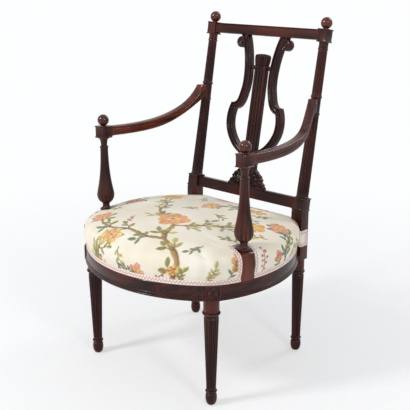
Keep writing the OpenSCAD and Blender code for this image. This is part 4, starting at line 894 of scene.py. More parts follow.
def gadroons(z, a, r):
    """Lobes with round tops, parted by grooves, on the lower half of a vase."""
    pitch = 2 * math.pi / LOBES
    u = (np.mod(a + pitch / 2, pitch) - pitch / 2) / (pitch / 2)
    crest = LOBE_TOP - 3.6 * (1 - dome(u))
    on = (1 - steps(-0.35, 0.35, z - crest)) * steps(LOBE_FOOT, LOBE_FOOT + 4, z)
    return on * LOBE_DEEP * (np.sqrt(np.clip(1 - 0.92 * u * u, 0, 1)) - 0.86)


def vase_profile():
    """Disc, ring, swelling vase, shaft, collar and the flare under the arm block."""
    top, disc, r0 = SUPPORT_TOP, 5.0, 17.5 - LEDGE
    vase = bez([(VASE_R, VASE_Z), (VASE_R, 469.0), (11.6, 497.0), (SHAFT_R, SHAFT_Z)], np.linspace(0, 1, 60))
    p = [(r0 - 0.8, top - disc), (r0, top - disc + 0.5)] + bead(r0, top + disc / 2, disc, LEDGE)[1:]
    p += [(r0 - 0.6, top + disc + 0.4)] + tuck((9.6, 426.2), (r0 - 1.2, top + disc + 0.6))[::-1]
    p += bead(9.5, 428.6, 3.6, 1.7) + [(9.5, 430.9)] + swell((9.6, 431.1), (VASE_R, VASE_Z), 44)[1:]
    p += [tuple(q) for q in vase][1:]
    p += bead(SHAFT_R, SHAFT_Z + 1.4, 2.2, 0.7) + bead(10.6, 592.8, 3.8, 1.9) + [(9.4, 595.0)]
    return distinct(p + tuck((8.8, 596.5), (NECK_R, ARM_BLOCK_Z - 1.4), 12) + [(NECK_R, ARM_BLOCK_Z + 0.2)])


def stump():
    face, back, foot, half, drop = STUMP_FACE, STUMP_FACE - STUMP_D, RAIL_TOP - 0.2, STUMP_W / 2, 12.0
    outline = [(back, foot), (face, foot)]
    outline += tuck((face, SUPPORT_TOP - drop), (face - STUMP_D * 0.7, SUPPORT_TOP), 14) + [(back, SUPPORT_TOP)]
    stations = [(half, 0.96), (half - 0.35, 0.985), (half - 1.1, 1.0)]
    stations += [(-y, k) for y, k in stations[::-1]]
    return tube([col(x, y, z) for y, x, z in rounded_sections(outline, 1.0, stations)])


def arm_support():
    turns = np.linspace(0, 2 * math.pi, 14 * LOBES + 1)[:-1]
    block = tower(ledged(ARM_BLOCK_W / 2, ARM_BLOCK_Z, ARM_BLOCK_Z + ARM_BLOCK_H))
    return merged(put(on_stump, stump()), put(on_support, lathe(vase_profile(), turns, gadroons), block))


for word, side in SIDES:
    # painted light and shade: the left arm gets the lighter, lit copy of the wood and the right arm the darker,
    # shaded copy
    make("arm_" + word, arm(), LIT_ARM_MAHOGANY if side < 0 else SHADED_ARM_MAHOGANY, word + "_arm", side)
    make("arm_support_turned_" + word, arm_support(), SUPPORT_WOOD, word + "_arm_support", side)

# ---------------------------------------------------------------- the CAD's own pieces
for material, names in ((BALL_WOOD, "back_left_finial back_right_finial arm_left_finial arm_right_finial"),
                        (DARK_WOOD[0], "rear_rail"), (BEECH, "corner_blocks joint_pegs"),
                        (BRASS, "corner_screws arm_screws stump_screws"), (STEEL, "webbing_tacks"),
                        (WEBBING, "seat_webbing"), (HESSIAN, "seat_hessian")):
    for name in names.split():
        nodes[name].data.materials.clear()
        nodes[name].data.materials.append(material)

# ---------------------------------------------------------------- form of the seat
# up the cushion from its crown: share of the reach, then of the height in front and behind
CUSHION = np.array([(0, 1, 1), (0.3, 0.99, 0.98), (0.55, 0.96, 0.915), (0.74, 0.905, 0.825),
                    (0.875, 0.84, 0.73), (0.948, 0.785, 0.66), (0.987, 0.735, 0.605), (1.008, 0.66, 0.545), (1.018, 0.56, 0.47),
                    (1.019, 0.42, 0.37), (1.012, 0.25, 0.24), (1.0, 0.14, 0.14), (1.0, 0, 0)])
REAR_REACH = POST_Y + STILE / 2 - 2.0
CORNER_POWER = 70


def to_circle(cx, cy, r, a):
    b = cx * np.cos(a) + cy * np.sin(a)
    return b + np.sqrt(b * b + r * r - cx * cx - cy * cy)


def plan_r(a, inset=COVER_INSET):
    """Reach of the seat's outline, with its corners rounded."""
    reach = [to_circle(0, FRONT_CY, FRONT_R - inset, a), to_circle(-SIDE_CX, 0, SIDE_R - inset, a),
             to_circle(SIDE_CX, 0, SIDE_R - inset, a), (REAR_REACH - inset) / np.maximum(np.sin(a), 0.001)]
    m = np.minimum.reduce(reach)
    return m * sum((m / r) ** CORNER_POWER for r in reach) ** (-1 / CORNER_POWER)


def smooth_table(table, count=400):
    """The cushion's section drawn smooth, evenly along its length."""
    nominal = col(table[:, 0] * SEAT_REACH, (table[:, 1] + table[:, 2]) / 2 * CROWN_H)
    run = np.concatenate([[0], np.cumsum(np.linalg.norm(np.diff(nominal, axis=0), axis=1))])
    t = run / run[-1]
    slope = np.gradient(table, t, axis=0)
    slope[0] = (table[1, 0] / t[1], 0, 0)
    slope[-1] = slope[-2] * (0, 1, 1)
    u = np.linspace(0, 1, count)
    k = np.clip(np.searchsorted(t, u, side="right") - 1, 0, len(t) - 2)
    h = (t[k + 1] - t[k])[:, None]
    x = ((u - t[k])[:, None]) / h
    return u, ((2 * x ** 3 - 3 * x ** 2 + 1) * table[k] + (x ** 3 - 2 * x ** 2 + x) * h * slope[k]
               + (-2 * x ** 3 + 3 * x ** 2) * table[k + 1] + (x ** 3 - x ** 2) * h * slope[k + 1])


def flat_reach():
    """Reach in the flat cloth. Round the wall the cloth is eased in, and the print comes smaller."""
    line = col(SECTION[:, 0] * SEAT_REACH, SECTION[:, 1] * CROWN_H)
    step = np.linalg.norm(np.diff(line, axis=0), axis=1)
    growth = step / np.maximum((line[1:, 0] + line[:-1, 0]) / 2, 0.2)
    reach = np.concatenate([[0.0], 0.4 * np.exp(np.cumsum(growth) - growth[0])])
    return reach * 200.0 / np.interp(200.0, line[:300, 0], reach[:300])


SECTION_T, SECTION = smooth_table(CUSHION)
SECTION[:, 0] = np.maximum(SECTION[:, 0], 0)
SECTION[SECTION_T > 0.985, 0] = 1.0
FLAT_R = flat_reach()


def cushion_point(t, a):
    """Place on the plain cushion, t of the way from its crown to its foot."""
    share, front, back = (np.interp(t, SECTION_T, column) for column in SECTION.T)
    r = plan_r(a) * share
    z = RAIL_TOP + CROWN_H * (front + (back - front) * np.maximum(np.sin(a), 0) ** 2)
    return col(r * np.cos(a), r * np.sin(a), z)


def disc_grid(n):
    """A square grid wrapped onto a disc: radius from 0 to 1, and angle."""
    a, b = np.meshgrid(np.linspace(-1, 1, n), np.linspace(-1, 1, n))
    wide = np.abs(a) >= np.abs(b)
    r = np.where(wide, a, b)
    with np.errstate(divide="ignore", invalid="ignore"):
        phi = np.where(wide, math.pi / 4 * b / a, math.pi / 2 - math.pi / 4 * a / b)
    phi = np.where(r == 0, 0, phi)
    return np.abs(r), np.where(r < 0, phi + math.pi, phi)


def cover_shell(n):
    """Closed stuffed form, and the place of each of its points in the flat cloth."""
    t, a = disc_grid(n)
    top = cushion_point(t, a).reshape(-1, 3)
    reach = plan_r(a) / SEAT_REACH * np.interp(t, SECTION_T, FLAT_R)
    flat = col(reach * np.cos(a), reach * np.sin(a)).reshape(-1, 2)
    points, flats, faces = [top], [flat], grid_faces(n, n, False)
    last = loop = rim(n, n)
    pairs = list(zip(range(len(loop)), [*range(1, len(loop)), 0]))
    rim_a, base = a.reshape(-1)[loop], n * n
    for inset, z in ((4.2, RAIL_TOP), (4.2, PAD_Z), (60.0, PAD_Z), (140.0, PAD_Z)):
        r = plan_r(rim_a) - inset + COVER_INSET
        points.append(col(r * np.cos(rim_a), r * np.sin(rim_a), z))
        flats.append(flat[loop])
        new = list(range(base, base + len(loop)))
        faces += [[last[m], last[k], new[k], new[m]] for k, m in pairs]
        last, base = new, base + len(loop)
    faces += [[last[m], last[k], base] for k, m in pairs]
    return np.vstack(points + [[[0, 0, PAD_Z]]]), faces, np.vstack(flats + [[[0, 0]]]), (t, a)


def box(low, high):
    faces = [[0, 1, 3, 2], [4, 6, 7, 5], [0, 4, 5, 1], [2, 3, 7, 6], [0, 2, 6, 4], [1, 5, 7, 3]]
    return list(product(*zip(low, high))), faces


def cutters():
    """Room in the cover for the stumps and the rear posts."""
    g, foot, head = SOFT_GAP, RAIL_TOP - 9, 600
    stumps = put(on_stump, box((STUMP_FACE - STUMP_D - g, -STUMP_W / 2 - g, foot),
                               (STUMP_FACE + 60, STUMP_W / 2 + g, head)))
    posts = merged(box((STILE_IN - g, POST_Y - STILE / 2 - g, foot), (STILE_IN + 90, POST_Y + 90, head)))
    return merged(*(mirrored(shell, side) for shell in (stumps, posts) for side in (1, -1)))


# ---------------------------------------------------------------- settling the cloth
CLOTH_CAP, CLOTH_FRAMES = 6.0, 20


def hold_weight(points):
    """1 where the cover is nailed down or meets a stump or a post, 0 where it is free."""
    held = 1 - steps(RAIL_TOP + 8, RAIL_TOP + 30, points[:, 2])
    for side in (1, -1):
        p = points * (side, 1, 1)
        x, y = off_stump(p)
        away = np.hypot(np.maximum(STUMP_FACE - STUMP_D - x, 0), np.maximum(np.abs(y) - STUMP_W / 2, 0))
        held = np.maximum(held, 1 - steps(6, 34, away))
        away = np.hypot(np.maximum(STILE_IN - p[:, 0], 0), np.maximum(POST_Y - STILE / 2 - p[:, 1], 0))
        held = np.maximum(held, 1 - steps(4, 34, away))
    return held


def settled(n=71):
    """The stuffed form blown up a little by Blender's cloth; gives its moves on an even grid."""
    points, faces, _, _ = cover_shell(n)
    mesh = mesh_of("settling", (points, faces))
    mesh.validate()
    piece = shown("settling", mesh)
    group = piece.vertex_groups.new(name="nailed")
    held = hold_weight(points)
    held[n * n:] = 1
    for i, w in enumerate(held):
        if w > 0.02:
            group.add([i], float(w), "REPLACE")
    cloth = piece.modifiers.new("cloth", "CLOTH")
    s = cloth.settings
    s.quality, s.mass, s.air_damping = 6, 0.25, 6.0
    s.tension_stiffness = s.compression_stiffness = s.shear_stiffness = 22.0
    s.bending_stiffness = 1.2
    s.use_pressure, s.uniform_pressure_force = True, 4.0
    s.vertex_group_mass = "nailed"
    s.effector_weights.gravity = 0.0
    cloth.collision_settings.use_self_collision = False
    cloth.point_cache.frame_start, cloth.point_cache.frame_end = 1, CLOTH_FRAMES
    for f in range(1, CLOTH_FRAMES + 1):
        scene.frame_set(f)
    done = piece.evaluated_get(bpy.context.evaluated_depsgraph_get()).data
    co = np.empty(len(done.vertices) * 3, np.float32)
    done.vertices.foreach_get("co", co)
    scene.frame_set(1)
    move = (co.reshape(-1, 3) - place(points)) * 1000.0
    bpy.data.objects.remove(piece)
    bpy.data.meshes.remove(mesh)
    move = (move[:n * n] * (1 - held[:n * n])[:, None]).reshape(n, n, 3)
    size = np.linalg.norm(move, axis=-1, keepdims=True)
    return move * np.minimum(1, CLOTH_CAP / np.maximum(size, 1e-6))


def pleats(t, a):
    """Small folds that fan in from the nailed edge at the front corners and at the rear posts."""
    out = np.zeros(t.shape + (3,))
    corner = math.atan2(LEG_XY[1], LEG_XY[0])
    rear = math.atan2(POST_Y - STILE / 2, POST_X)
    along = steps(0.62, 0.84, t) * (1 - steps(0.93, 0.985, t))
    for centre, spread, count, deep in ((corner, 0.24, 5, 1.5), (math.pi - corner, 0.24, 5, 1.4),
                                        (rear - 0.14, 0.12, 3, 1.6), (math.pi - rear + 0.14, 0.12, 3, 1.5)):
        off = np.mod(a - centre + math.pi, 2 * math.pi) - math.pi
        wave = np.cos(off / spread * math.pi * count / 1.6 + 0.6 * np.sin(off * 9))
        fold = wave * np.exp(-(off / spread) ** 2 * 1.6) * along * deep
        out[..., 0] += np.cos(a) * fold
        out[..., 1] += np.sin(a) * fold
    return out


settled_move = settled()


def bulge(t, a):
    """Move at a place on the cushion, read from the settled grid."""
    n, quarter = settled_move.shape[0], math.pi / 4
    c, s = np.cos(a), np.sin(a)
    wide, phi = np.abs(c) >= np.abs(s), np.arctan2(s, c)
    fold = np.where(c < 0, np.where(s >= 0, math.pi - phi, -math.pi - phi), phi)
    u, v = np.where(wide, np.sign(c) * t, 0), np.where(wide, 0, np.sign(s) * t)
    v = np.where(wide, np.abs(u) * fold / quarter, v)
    u = np.where(wide, u, np.abs(v) * (math.pi / 2 - np.abs(phi)) / quarter)
    x, y = (np.clip(u, -1, 1) + 1) / 2 * (n - 1), (np.clip(v, -1, 1) + 1) / 2 * (n - 1)
    i, j = np.minimum(x.astype(int), n - 2), np.minimum(y.astype(int), n - 2)
    fx, fy = (x - i)[..., None], (y - j)[..., None]
    g = settled_move
    return (g[j, i] * (1 - fx) * (1 - fy) + g[j, i + 1] * fx * (1 - fy)
            + g[j + 1, i] * (1 - fx) * fy + g[j + 1, i + 1] * fx * fy) + pleats(t, a)


def settled_point(t, a):
    """Place on the cushion after the cloth has settled."""
    return cushion_point(t, a) + bulge(t, a)


# ---------------------------------------------------------------- the print
def ink(r, g, b):
    return np.array(srgb(r, g, b)[:3])


GROUND, INK = ink(246, 240, 226), ink(92, 92, 62)
BARK, BARK_DARK, BARK_PALE = ink(172, 136, 84), ink(98, 72, 50), ink(204, 176, 120)
OLIVE, SAGE, LIME = ink(156, 152, 78), ink(128, 142, 104), ink(204, 190, 108)
TEAL, BLUE = ink(90, 128, 132), ink(104, 134, 154)
PINK, ORANGE, YELLOW, ROSE = ink(232, 168, 152), ink(238, 172, 96), ink(240, 208, 116), ink(198, 104, 96)


def toward(a):
    return np.array([math.cos(a), math.sin(a)])


class Print:
    """Branches, leaves and flowers drawn in the flat cloth, millimetres."""

    def __init__(self, flat, seed):
        self.p = flat
        self.rgb = np.tile(GROUND, (len(flat), 1))
        self.random = np.random.default_rng(seed)

    def lay(self, k, colour, amount):
        self.rgb[k] += (colour - self.rgb[k]) * np.clip(amount, 0, 1)[:, None]

    def near(self, centre, reach):
        return np.flatnonzero(((self.p - centre) ** 2).sum(1) < reach * reach)

    def stroke(self, points, w0, w1, colour, shade=None, knots=0.0):
        """A curved line that tapers from w0 to w1, darker along one side."""
        c = np.asarray(points, float)
        t, fine = np.linspace(0, 1, len(c)), np.linspace(0, 1, 60)
        c = col(np.interp(fine, t, c[:, 0]), np.interp(fine, t, c[:, 1]))
        for _ in range(5):
            c[1:-1] = (c[:-2] + 2 * c[1:-1] + c[2:]) / 4
        phase = self.random.uniform(0, 6)
        for i in range(len(c) - 1):
            a, d = c[i], c[i + 1] - c[i]
            length = np.linalg.norm(d)
            knotty = 1 + knots * math.sin(i * 0.9 + phase) + knots * math.sin(i * 0.37)
            w = (w0 + (w1 - w0) * i / len(c)) * knotty
            k = self.near(a + d / 2, length + w + 3)
            q = self.p[k] - a
            off = q - np.clip(q @ d / (d @ d + 1e-9), 0, 1)[:, None] * d
            amount = 1 - steps(w / 2 - 1.0, w / 2 + 1.0, np.hypot(off[:, 0], off[:, 1]))
            self.lay(k, colour, amount)
            if shade is not None and w > 3:
                cross = (d[0] * q[:, 1] - d[1] * q[:, 0]) / (length + 1e-9)
                light = steps(w * 0.05, w * 0.3, cross) * (1 - steps(w * 0.3, w * 0.5, cross))
                self.lay(k, shade, amount * steps(w * 0.08, w * 0.42, -cross) * 0.85)
                self.lay(k, BARK_PALE, amount * light * 0.7)
                self.lay(k, shade, amount * steps(w * 0.36, w * 0.5, cross) * 0.6)
        return c

    def petal(self, centre, length, angle, wide, colour, rim_colour, middle=0.0, blunt=0.0):
        """A leaf, or a petal broader towards its outer end, with a darker rim and a lighter half."""
        k = self.near(centre, length * 0.75)
        c, s = math.cos(angle), math.sin(angle)
        q = self.p[k] - centre
        x, y = q[:, 0] * c + q[:, 1] * s, -q[:, 0] * s + q[:, 1] * c
        u = np.clip(x / (length / 2), -1.2, 1.2)
        form = np.clip(1 - u * u, 0.0, 1) ** (0.5 if blunt else 0.8) * (1 + blunt * u) * wide * length / 2
        d = np.where(np.abs(u) < 1, np.abs(y) / np.maximum(form, 0.4), 9.0)
        fill = 1 - steps(0.8, 1.12, d)
        self.lay(k, colour, fill)
        self.lay(k, np.minimum(colour * 1.25 + 0.06, 1), fill * steps(0.0, 2.0, y) * 0.45)
        self.lay(k, rim_colour, fill * steps(0.5, 0.95, d) * 0.62)
        if middle:
            self.lay(k, rim_colour, fill * (1 - steps(0.4, 1.5, np.abs(y))) * middle)
        if blunt:
            self.lay(k, rim_colour, fill * (1 - steps(-0.9, 0.1, u)) * 0.4)

    def spot(self, centre, reach, colour, r0, r1, amount=1.0):
        k = self.near(centre, reach)
        self.lay(k, colour, (1 - steps(r0, r1, np.hypot(*(self.p[k] - centre).T))) * amount)

    def blossom(self, centre, r, petals, colour, inner, turn):
        for size, count, tone, edge, lean in ((1.0, petals, colour, ROSE, 0.0),
                                              (0.66, petals, inner, ROSE, 0.5),
                                              (0.4, petals - 2, YELLOW, ORANGE, 0.2)):
            for i in range(count):
                a = turn + 2 * math.pi * (i + lean) / count
                grow = size * (1 + 0.12 * math.sin(i * 2.4 + turn * 5))
                self.petal(centre + r * 0.54 * grow * toward(a), r * 0.98 * grow, a, 0.66,
                           tone * (1 - 0.07 * (i % 3)), edge, blunt=0.35)
        self.spot(centre, r, BARK_DARK, r * 0.07, r * 0.15, 0.8)

    def spray(self, start, angle, length, leaves, colour, size, bend, width, berries=False):
        """A twig with leaves or berries on both sides; gives its end."""
        out = [np.array(start, float)]
        for _ in range(9):
            angle += bend / 9
            out.append(out[-1] + length / 9 * toward(angle))
        c = self.stroke(out, width, width * 0.6, BARK_DARK)
        for i in range(leaves):
            k = min(int((i + 0.9) / leaves * 59), 58)
            dx, dy = c[k] - c[k - 1]
            wide = size * self.random.uniform(0.8, 1.2)
            lean = (1 if i % 2 else -1) * self.random.uniform(0.5, 1.05) * (0.3 if i == leaves - 1 else 1)
            turn = math.atan2(dy, dx) + lean
            if berries:
                self.spot(c[k] + wide * 0.5 * toward(turn), 9, colour, 3.2, 5.0)
            else:
                tone = colour * self.random.uniform(0.86, 1.16)
                self.petal(c[k] + wide * 0.55 * toward(turn), wide, turn, self.random.uniform(0.4, 0.52),
                           tone, INK, middle=0.5)
        return out[-1]


# width at both ends, points, and for each side that bears leaves its way, colour and size of leaf
BRANCHES = (
    (15, 10, ((214, -318), (186, -276), (176, -232), (134, -206), (84, -186), (58, -150), (46, -108), (8, -78)),
     ((1, OLIVE, 28), (-1, LIME, 26))),
    (10, 4.5, ((84, -186), (28, -204), (-34, -190), (-86, -206), (-140, -192), (-176, -160)),
     ((-1, OLIVE, 25), (1, SAGE, 22))),
    (8.5, 4, ((8, -78), (-42, -66), (-84, -30), (-104, 22), (-148, 52), (-160, 100)),
     ((1, LIME, 24), (-1, SAGE, 22))),
    (7.5, 3.5, ((46, -108), (88, -84), (108, -40), (158, -16), (186, 30)), ((1, OLIVE, 24), (-1, LIME, 22))),
    (8, 3.5, ((112, 262), (96, 210), (52, 178), (44, 128), (4, 96)), ((1, SAGE, 22), (-1, OLIVE, 24))),
    (10, 4, ((-352, 30), (-306, 12), (-268, 34), (-232, 14)), ((1, TEAL, 28), (-1, BLUE, 26))),
    (9, 4, ((350, 78), (312, 60), (276, 88), (238, 96)), ((1, TEAL, 26), (-1, OLIVE, 24))),
    (8, 3.5, ((-150, -336), (-128, -296), (-84, -274), (-66, -240)), ((1, LIME, 24), (-1, OLIVE, 22))),
)
# place, radius, petals, colours and turn
BLOSSOMS = (
    ((10, -74), 44, 7, ORANGE, PINK, 0.3), ((-184, -150), 33, 6, PINK, ORANGE, 0.9),
    ((192, 36), 34, 6, ORANGE, YELLOW, 0.1), ((-160, 108), 34, 6, YELLOW, ORANGE, 0.5),
    ((0, 92), 30, 6, PINK, YELLOW, 1.3), ((-224, 10), 28, 5, PINK, ROSE, 0.2),
    ((232, 98), 30, 6, PINK, ORANGE, 0.8), ((-62, -232), 30, 6, YELLOW, PINK, 0.2),
    ((286, -112), 31, 6, ORANGE, YELLOW, 0.9), ((-300, -120), 29, 6, PINK, YELLOW, 0.4),
    ((70, -312), 28, 5, PINK, ORANGE, 0.1), ((118, 150), 26, 5, ORANGE, YELLOW, 0.6),
    ((-246, 150), 27, 5, PINK, YELLOW, 0.3), ((-40, 200), 28, 6, ORANGE, PINK, 0.2),
)
TUFTS = ((-196, -66), (-44, 20), (124, 70), (-92, -116), (62, 34), (-86, 170), (170, 150), (-196, 190),
         (230, -70), (-6, -262), (186, -150), (-262, -76), (40, 236), (262, 10))
EDGE_SPRAYS = 30


def paint_print(flat):
    """A branch comes up from the right of the front, forks twice and arches back over the crown."""
    s = Print(flat, 11)
    draw = s.random.uniform
    lines = [s.stroke(points, w0, w1, BARK, BARK_DARK, 0.12) for w0, w1, points, _ in BRANCHES]
    for c, (_, _, _, leaves) in zip(lines, BRANCHES):
        for way, colour, size in leaves:
            for k in (9, 24, 38, 52):
                dx, dy = c[k + 1] - c[k]
                angle = math.atan2(dy, dx) + way * draw(0.6, 1.1)
                s.spray(c[k], angle, draw(22, 40), 3, colour, size, -way * 0.6, 2.6)
    for blossom in BLOSSOMS:
        s.blossom(*blossom)
    # sprays, tufts and berried twigs that grow in from the edge of the cloth
    for i in range(EDGE_SPRAYS):
        a = 2 * math.pi * (i + 0.5) / EDGE_SPRAYS + draw(-0.06, 0.06)
        start = toward(a) * draw(352, 372)
        inward = a + math.pi + draw(-0.8, 0.8)
        tone = (OLIVE, LIME, SAGE, TEAL, ROSE)[i % 5]
        end = s.spray(start, inward, draw(46, 80), 6 + i % 3, tone, draw(18, 25), draw(-0.9, 0.9), 2.8,
                      i % 5 == 4)
        if i % 3 == 0:
            s.blossom(end, 17, 5, (PINK, ORANGE, YELLOW)[(i // 3) % 3], ROSE, i * 0.7)
    for i, at in enumerate(TUFTS):
        s.spray(at, draw(0, 2 * math.pi), draw(36, 54), 5, (OLIVE, LIME, SAGE, ROSE)[i % 4], draw(15, 21),
                draw(-1, 1), 2.4, i % 4 == 3)
    return s.rgb


# ---------------------------------------------------------------- flaps of the cover on the rear posts
FLAP_H, FLAP_DROP, FLAP_L, FLAP_T = 38.0, 7.5, 27.0, 2.2
FLAP_X, FLAP_Y = POST_X + STILE / 2 + SOFT_GAP, POST_Y - STILE / 2 - SOFT_GAP


def flap():
    """Cloth turned round the front of a rear post and nailed to its outer face."""
    r, join, rows = 3.0, FLAP_X - STILE * 0.3, 24
    path = [(x, FLAP_Y) for x in np.linspace(STILE_IN + 7.0, FLAP_X - r, 14)]
    path += [(FLAP_X - r + r * math.sin(a), FLAP_Y + r - r * math.cos(a))
             for a in np.linspace(0, math.pi / 2, 7)[1:]]
    path = np.array(path + [(FLAP_X, y) for y in np.linspace(FLAP_Y + r, FLAP_Y + FLAP_L, 20)[1:]])
    dx, dy = unit(np.gradient(path, axis=0)).T
    v = np.linspace(0, 1, rows)[:, None]
    foot = RAIL_TOP + 0.2 - (FLAP_DROP + 0.2) * steps(join - 2, join + 2, path[:, 0])
    z = foot + (RAIL_TOP + FLAP_H - foot) * v
    puff = FLAP_T - 0.2 + 1.1 * np.sin(v * math.pi) * np.sin(np.linspace(0, math.pi, len(path)))
    x, y = path.T
    return slab(col(x + dy * puff, y - dx * puff, z), col(x + dy * 0.05, y - dx * 0.05, z))


# ---------------------------------------------------------------- braid
BRAID_PALE, BRAID_DEEP, BRAID_EDGE = ink(244, 228, 218), ink(132, 58, 68), ink(226, 184, 176)
BRAID_W, EDGE_W, BRAID_T, ZIGZAG, RIB = 12.5, 10.5, 1.4, 9.0, 2.0
ACROSS = np.array([-1, -0.94, -0.84, -0.7, -0.56, -0.44, -0.33, -0.22, -0.11, 0, 0.11, 0.22, 0.33, 0.44,
                   0.56, 0.7, 0.84, 0.94, 1])


def ribbon(path, outs, width):
    """Woven band with one zigzag cord along its middle: a shell and the colours of its points."""
    run = np.concatenate([[0], np.cumsum(np.linalg.norm(np.diff(path, axis=0), axis=1))])
    at = np.linspace(0, run[-1], max(4, int(run[-1])))
    at = np.unique(np.concatenate([at, run if len(run) < 12 else []]))
    p, o = (col(*(np.interp(at, run, c) for c in q.T)) for q in (path, outs))
    o = unit(o)
    ahead = unit(np.vstack([p[1:] - p[:-1], p[-1:] - p[-2:-1]]))
    way = unit(ahead + np.vstack([ahead[:1], ahead[:-1]]))
    across = unit(np.cross(o, way)) / np.maximum((way * ahead).sum(1), 0.6)[:, None]
    half, s = width / 2, at[:, None]
    v = ACROSS * half
    zig = np.abs(np.mod(s / ZIGZAG, 1) - 0.5) * 4 - 1
    cord = hump((v - (half * 0.12 + half * 0.46 * zig)) / 0.95)
    rib = np.cos(2 * math.pi * s / RIB)
    edge = 1 - np.clip((np.abs(ACROSS) - 0.84) / 0.16, 0, 1) ** 2 * 0.55
    h = np.minimum((0.75 + 0.2 * np.cos(v / half * math.pi * 0.5) + 0.55 * cord + rib * 0.06) * edge, BRAID_T)
    front = p[:, None] + across[:, None] * v[:, None] + o[:, None] * h[..., None]
    back = p[:, None] + across[:, None] * np.array([half, -half])[:, None]
    rgb = BRAID_PALE + (BRAID_EDGE - BRAID_PALE) * (np.abs(ACROSS) > 0.9)[:, None]
    rgb = rgb + (BRAID_DEEP - rgb) * np.clip(cord * 1.15, 0, 1)[..., None]
    # painted light and shade: each rib's crest is 5 % lighter and the groove between ribs is 5 % darker
    rgb = rgb * (1 + 0.05 * rib)[..., None]
    rgb = np.concatenate([rgb, np.broadcast_to(BRAID_EDGE, (len(at), 2, 3))], 1)
    colours = np.vstack([rgb.reshape(-1, 3), rgb[0].mean(0), rgb[-1].mean(0)])
    return tube(np.concatenate([front, back], 1)), colours


def wall_path(a0, a1, count):
    """Line along the foot of the cover's wall, and the way out of the wall."""
    a = np.linspace(a0, a1, count)
    r = plan_r(a, COVER_INSET - 0.1)
    p = col(r * np.cos(a), r * np.sin(a), RAIL_TOP + BRAID_W / 2)
    d = np.gradient(p, axis=0)
    out = col(d[:, 1], -d[:, 0], 0.0)
    return p, unit(out * np.sign((out * p).sum(1))[:, None])


def stump_angle(y):
    p = on_stump(np.array([(STUMP_FACE - 1.0, y, 0)]))[0]
    return math.atan2(p[1], p[0])


def stump_path(y):
    """Line up the stuffed wall beside a stump, at one distance from the stump's middle."""
    nudge = 0.004
    a = np.linspace(stump_angle(y) - 0.16, stump_angle(y) + 0.16, 81)

    def at(t, angle):
        return settled_point(np.array([t]), np.array([angle]))[0]
    path, outs = [], []
    for t in SECTION_T[::-1][2::3]:
        local_x, local_y = off_stump(settled_point(np.full_like(a, t), a))
        depth, angle = np.interp(y, local_y, local_x), np.interp(y, local_y, a)
        here = at(t, angle)
        up = at(min(t + nudge, 1.0), angle) - at(max(t - nudge, 0.0), angle)
        out = np.cross(at(t, angle + nudge) - here, up)
        lean = out[0] * STUMP_COS + out[1] * STUMP_SIN
        if out[2] + 0.2 * lean < 0 or lean + 0.6 * out[2] < 0:
            out = -out
        if here[2] > RAIL_TOP + BRAID_W - 1.5 and depth > STUMP_FACE - STUMP_D - 3:
            path.append(here)
            outs.append(unit(out))
    return np.array(path), np.array(outs)


def flap_path():
    """Frame of the flap: from the front, along its foot, up its rear edge and back."""
    x, e = FLAP_X + FLAP_T + 0.75, EDGE_W / 2
    low, top, near, far = RAIL_TOP - FLAP_DROP + e, RAIL_TOP + FLAP_H - e, FLAP_Y - 0.4, FLAP_Y + FLAP_L - e
    corners = [(x - 0.5, near, low), (x, near + 4, low), (x, far, low), (x, far, top), (x, near + 4, top),
               (x - 0.5, near, top)]
    return np.array(corners), np.tile([1.0, 0, 0], (6, 1))


def braid_parts():
    """Ribbons of the braid, each with the sides on which it lies."""
    first, last = stump_angle(-STUMP_W / 2 - 0.3), stump_angle(STUMP_W / 2 + 0.3)
    rear = math.asin((FLAP_Y - FLAP_T - 0.4) / (SIDE_R - COVER_INSET))
    rear = math.atan2(SIDE_R * math.sin(rear), SIDE_R * math.cos(rear) - SIDE_CX)
    parts = [(ribbon(*wall_path(-math.pi - first, first, 1200), BRAID_W), (1,)),
             (ribbon(*wall_path(last, rear, 500), BRAID_W), (1, -1))]
    for way in (-1, 1):
        p, o = stump_path(way * (STUMP_W / 2 + 0.4 + EDGE_W / 2))
        parts.append((ribbon(p + o * 0.05, o, EDGE_W), (1, -1)))
    return parts + [(ribbon(*flap_path(), EDGE_W), (1, -1))]


# ---------------------------------------------------------------- the cover, cut round the stumps and posts
COVER_N = 277
cover_points, cover_faces, cover_flat, (grid_t, grid_a) = cover_shell(COVER_N)
top_count = COVER_N * COVER_N
free = 1 - hold_weight(cover_points[:top_count])[:, None]
cover_points[:top_count] += bulge(grid_t, grid_a).reshape(-1, 3) * free


def cut_with(piece, shell):
    """Takes closed shells out of a closed piece."""
    cutter = shown("cutter", outward(mesh_of("cutter", shell)))
    modifier = piece.modifiers.new("notches", "BOOLEAN")
    modifier.operation, modifier.object, modifier.solver = "DIFFERENCE", cutter, "EXACT"
    bpy.context.view_layer.update()
    done = bpy.data.meshes.new_from_object(piece.evaluated_get(bpy.context.evaluated_depsgraph_get()))
    piece.modifiers.clear()
    old, piece.data = piece.data, done
    bpy.data.meshes.remove(old)
    bpy.data.objects.remove(cutter)


cover_shape = merged((cover_points, cover_faces))
cover = shown("seat_cover_printed", outward(mesh_of("seat_cover_printed", cover_shape)))
cut_with(cover, cutters())
tree = KDTree(len(cover_points))
for i, p in enumerate(place(cover_points)):
    tree.insert(p, i)
tree.balance()
flats = [cover_flat[[tree.find(v.co)[1] for v in cover.data.vertices]]]
# the flaps belong to the cover, so they join its mesh
whole = bmesh.new()
whole.from_mesh(cover.data)
flap_points, flap_faces = merged(flap())
for side in (1, -1):
    corners = [whole.verts.new(Vector(p)) for p in place(flap_points) * (side, 1, 1)]
    for f in flap_faces:
        whole.faces.new([corners[i] for i in f[::side]])
    x, y, z = flap_points.T
    flats.append(col(side * (x + 60), y + 30 - (z - RAIL_TOP)))
bmesh.ops.recalc_face_normals(whole, faces=whole.faces)
whole.to_mesh(cover.data)
whole.free()
dress(cover.data, COTTON, 55.0)
painted(cover, paint_print(np.vstack(flats)), np.vstack(flats))
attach(cover, "root")
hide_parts("seat_cover", "seat_padding")

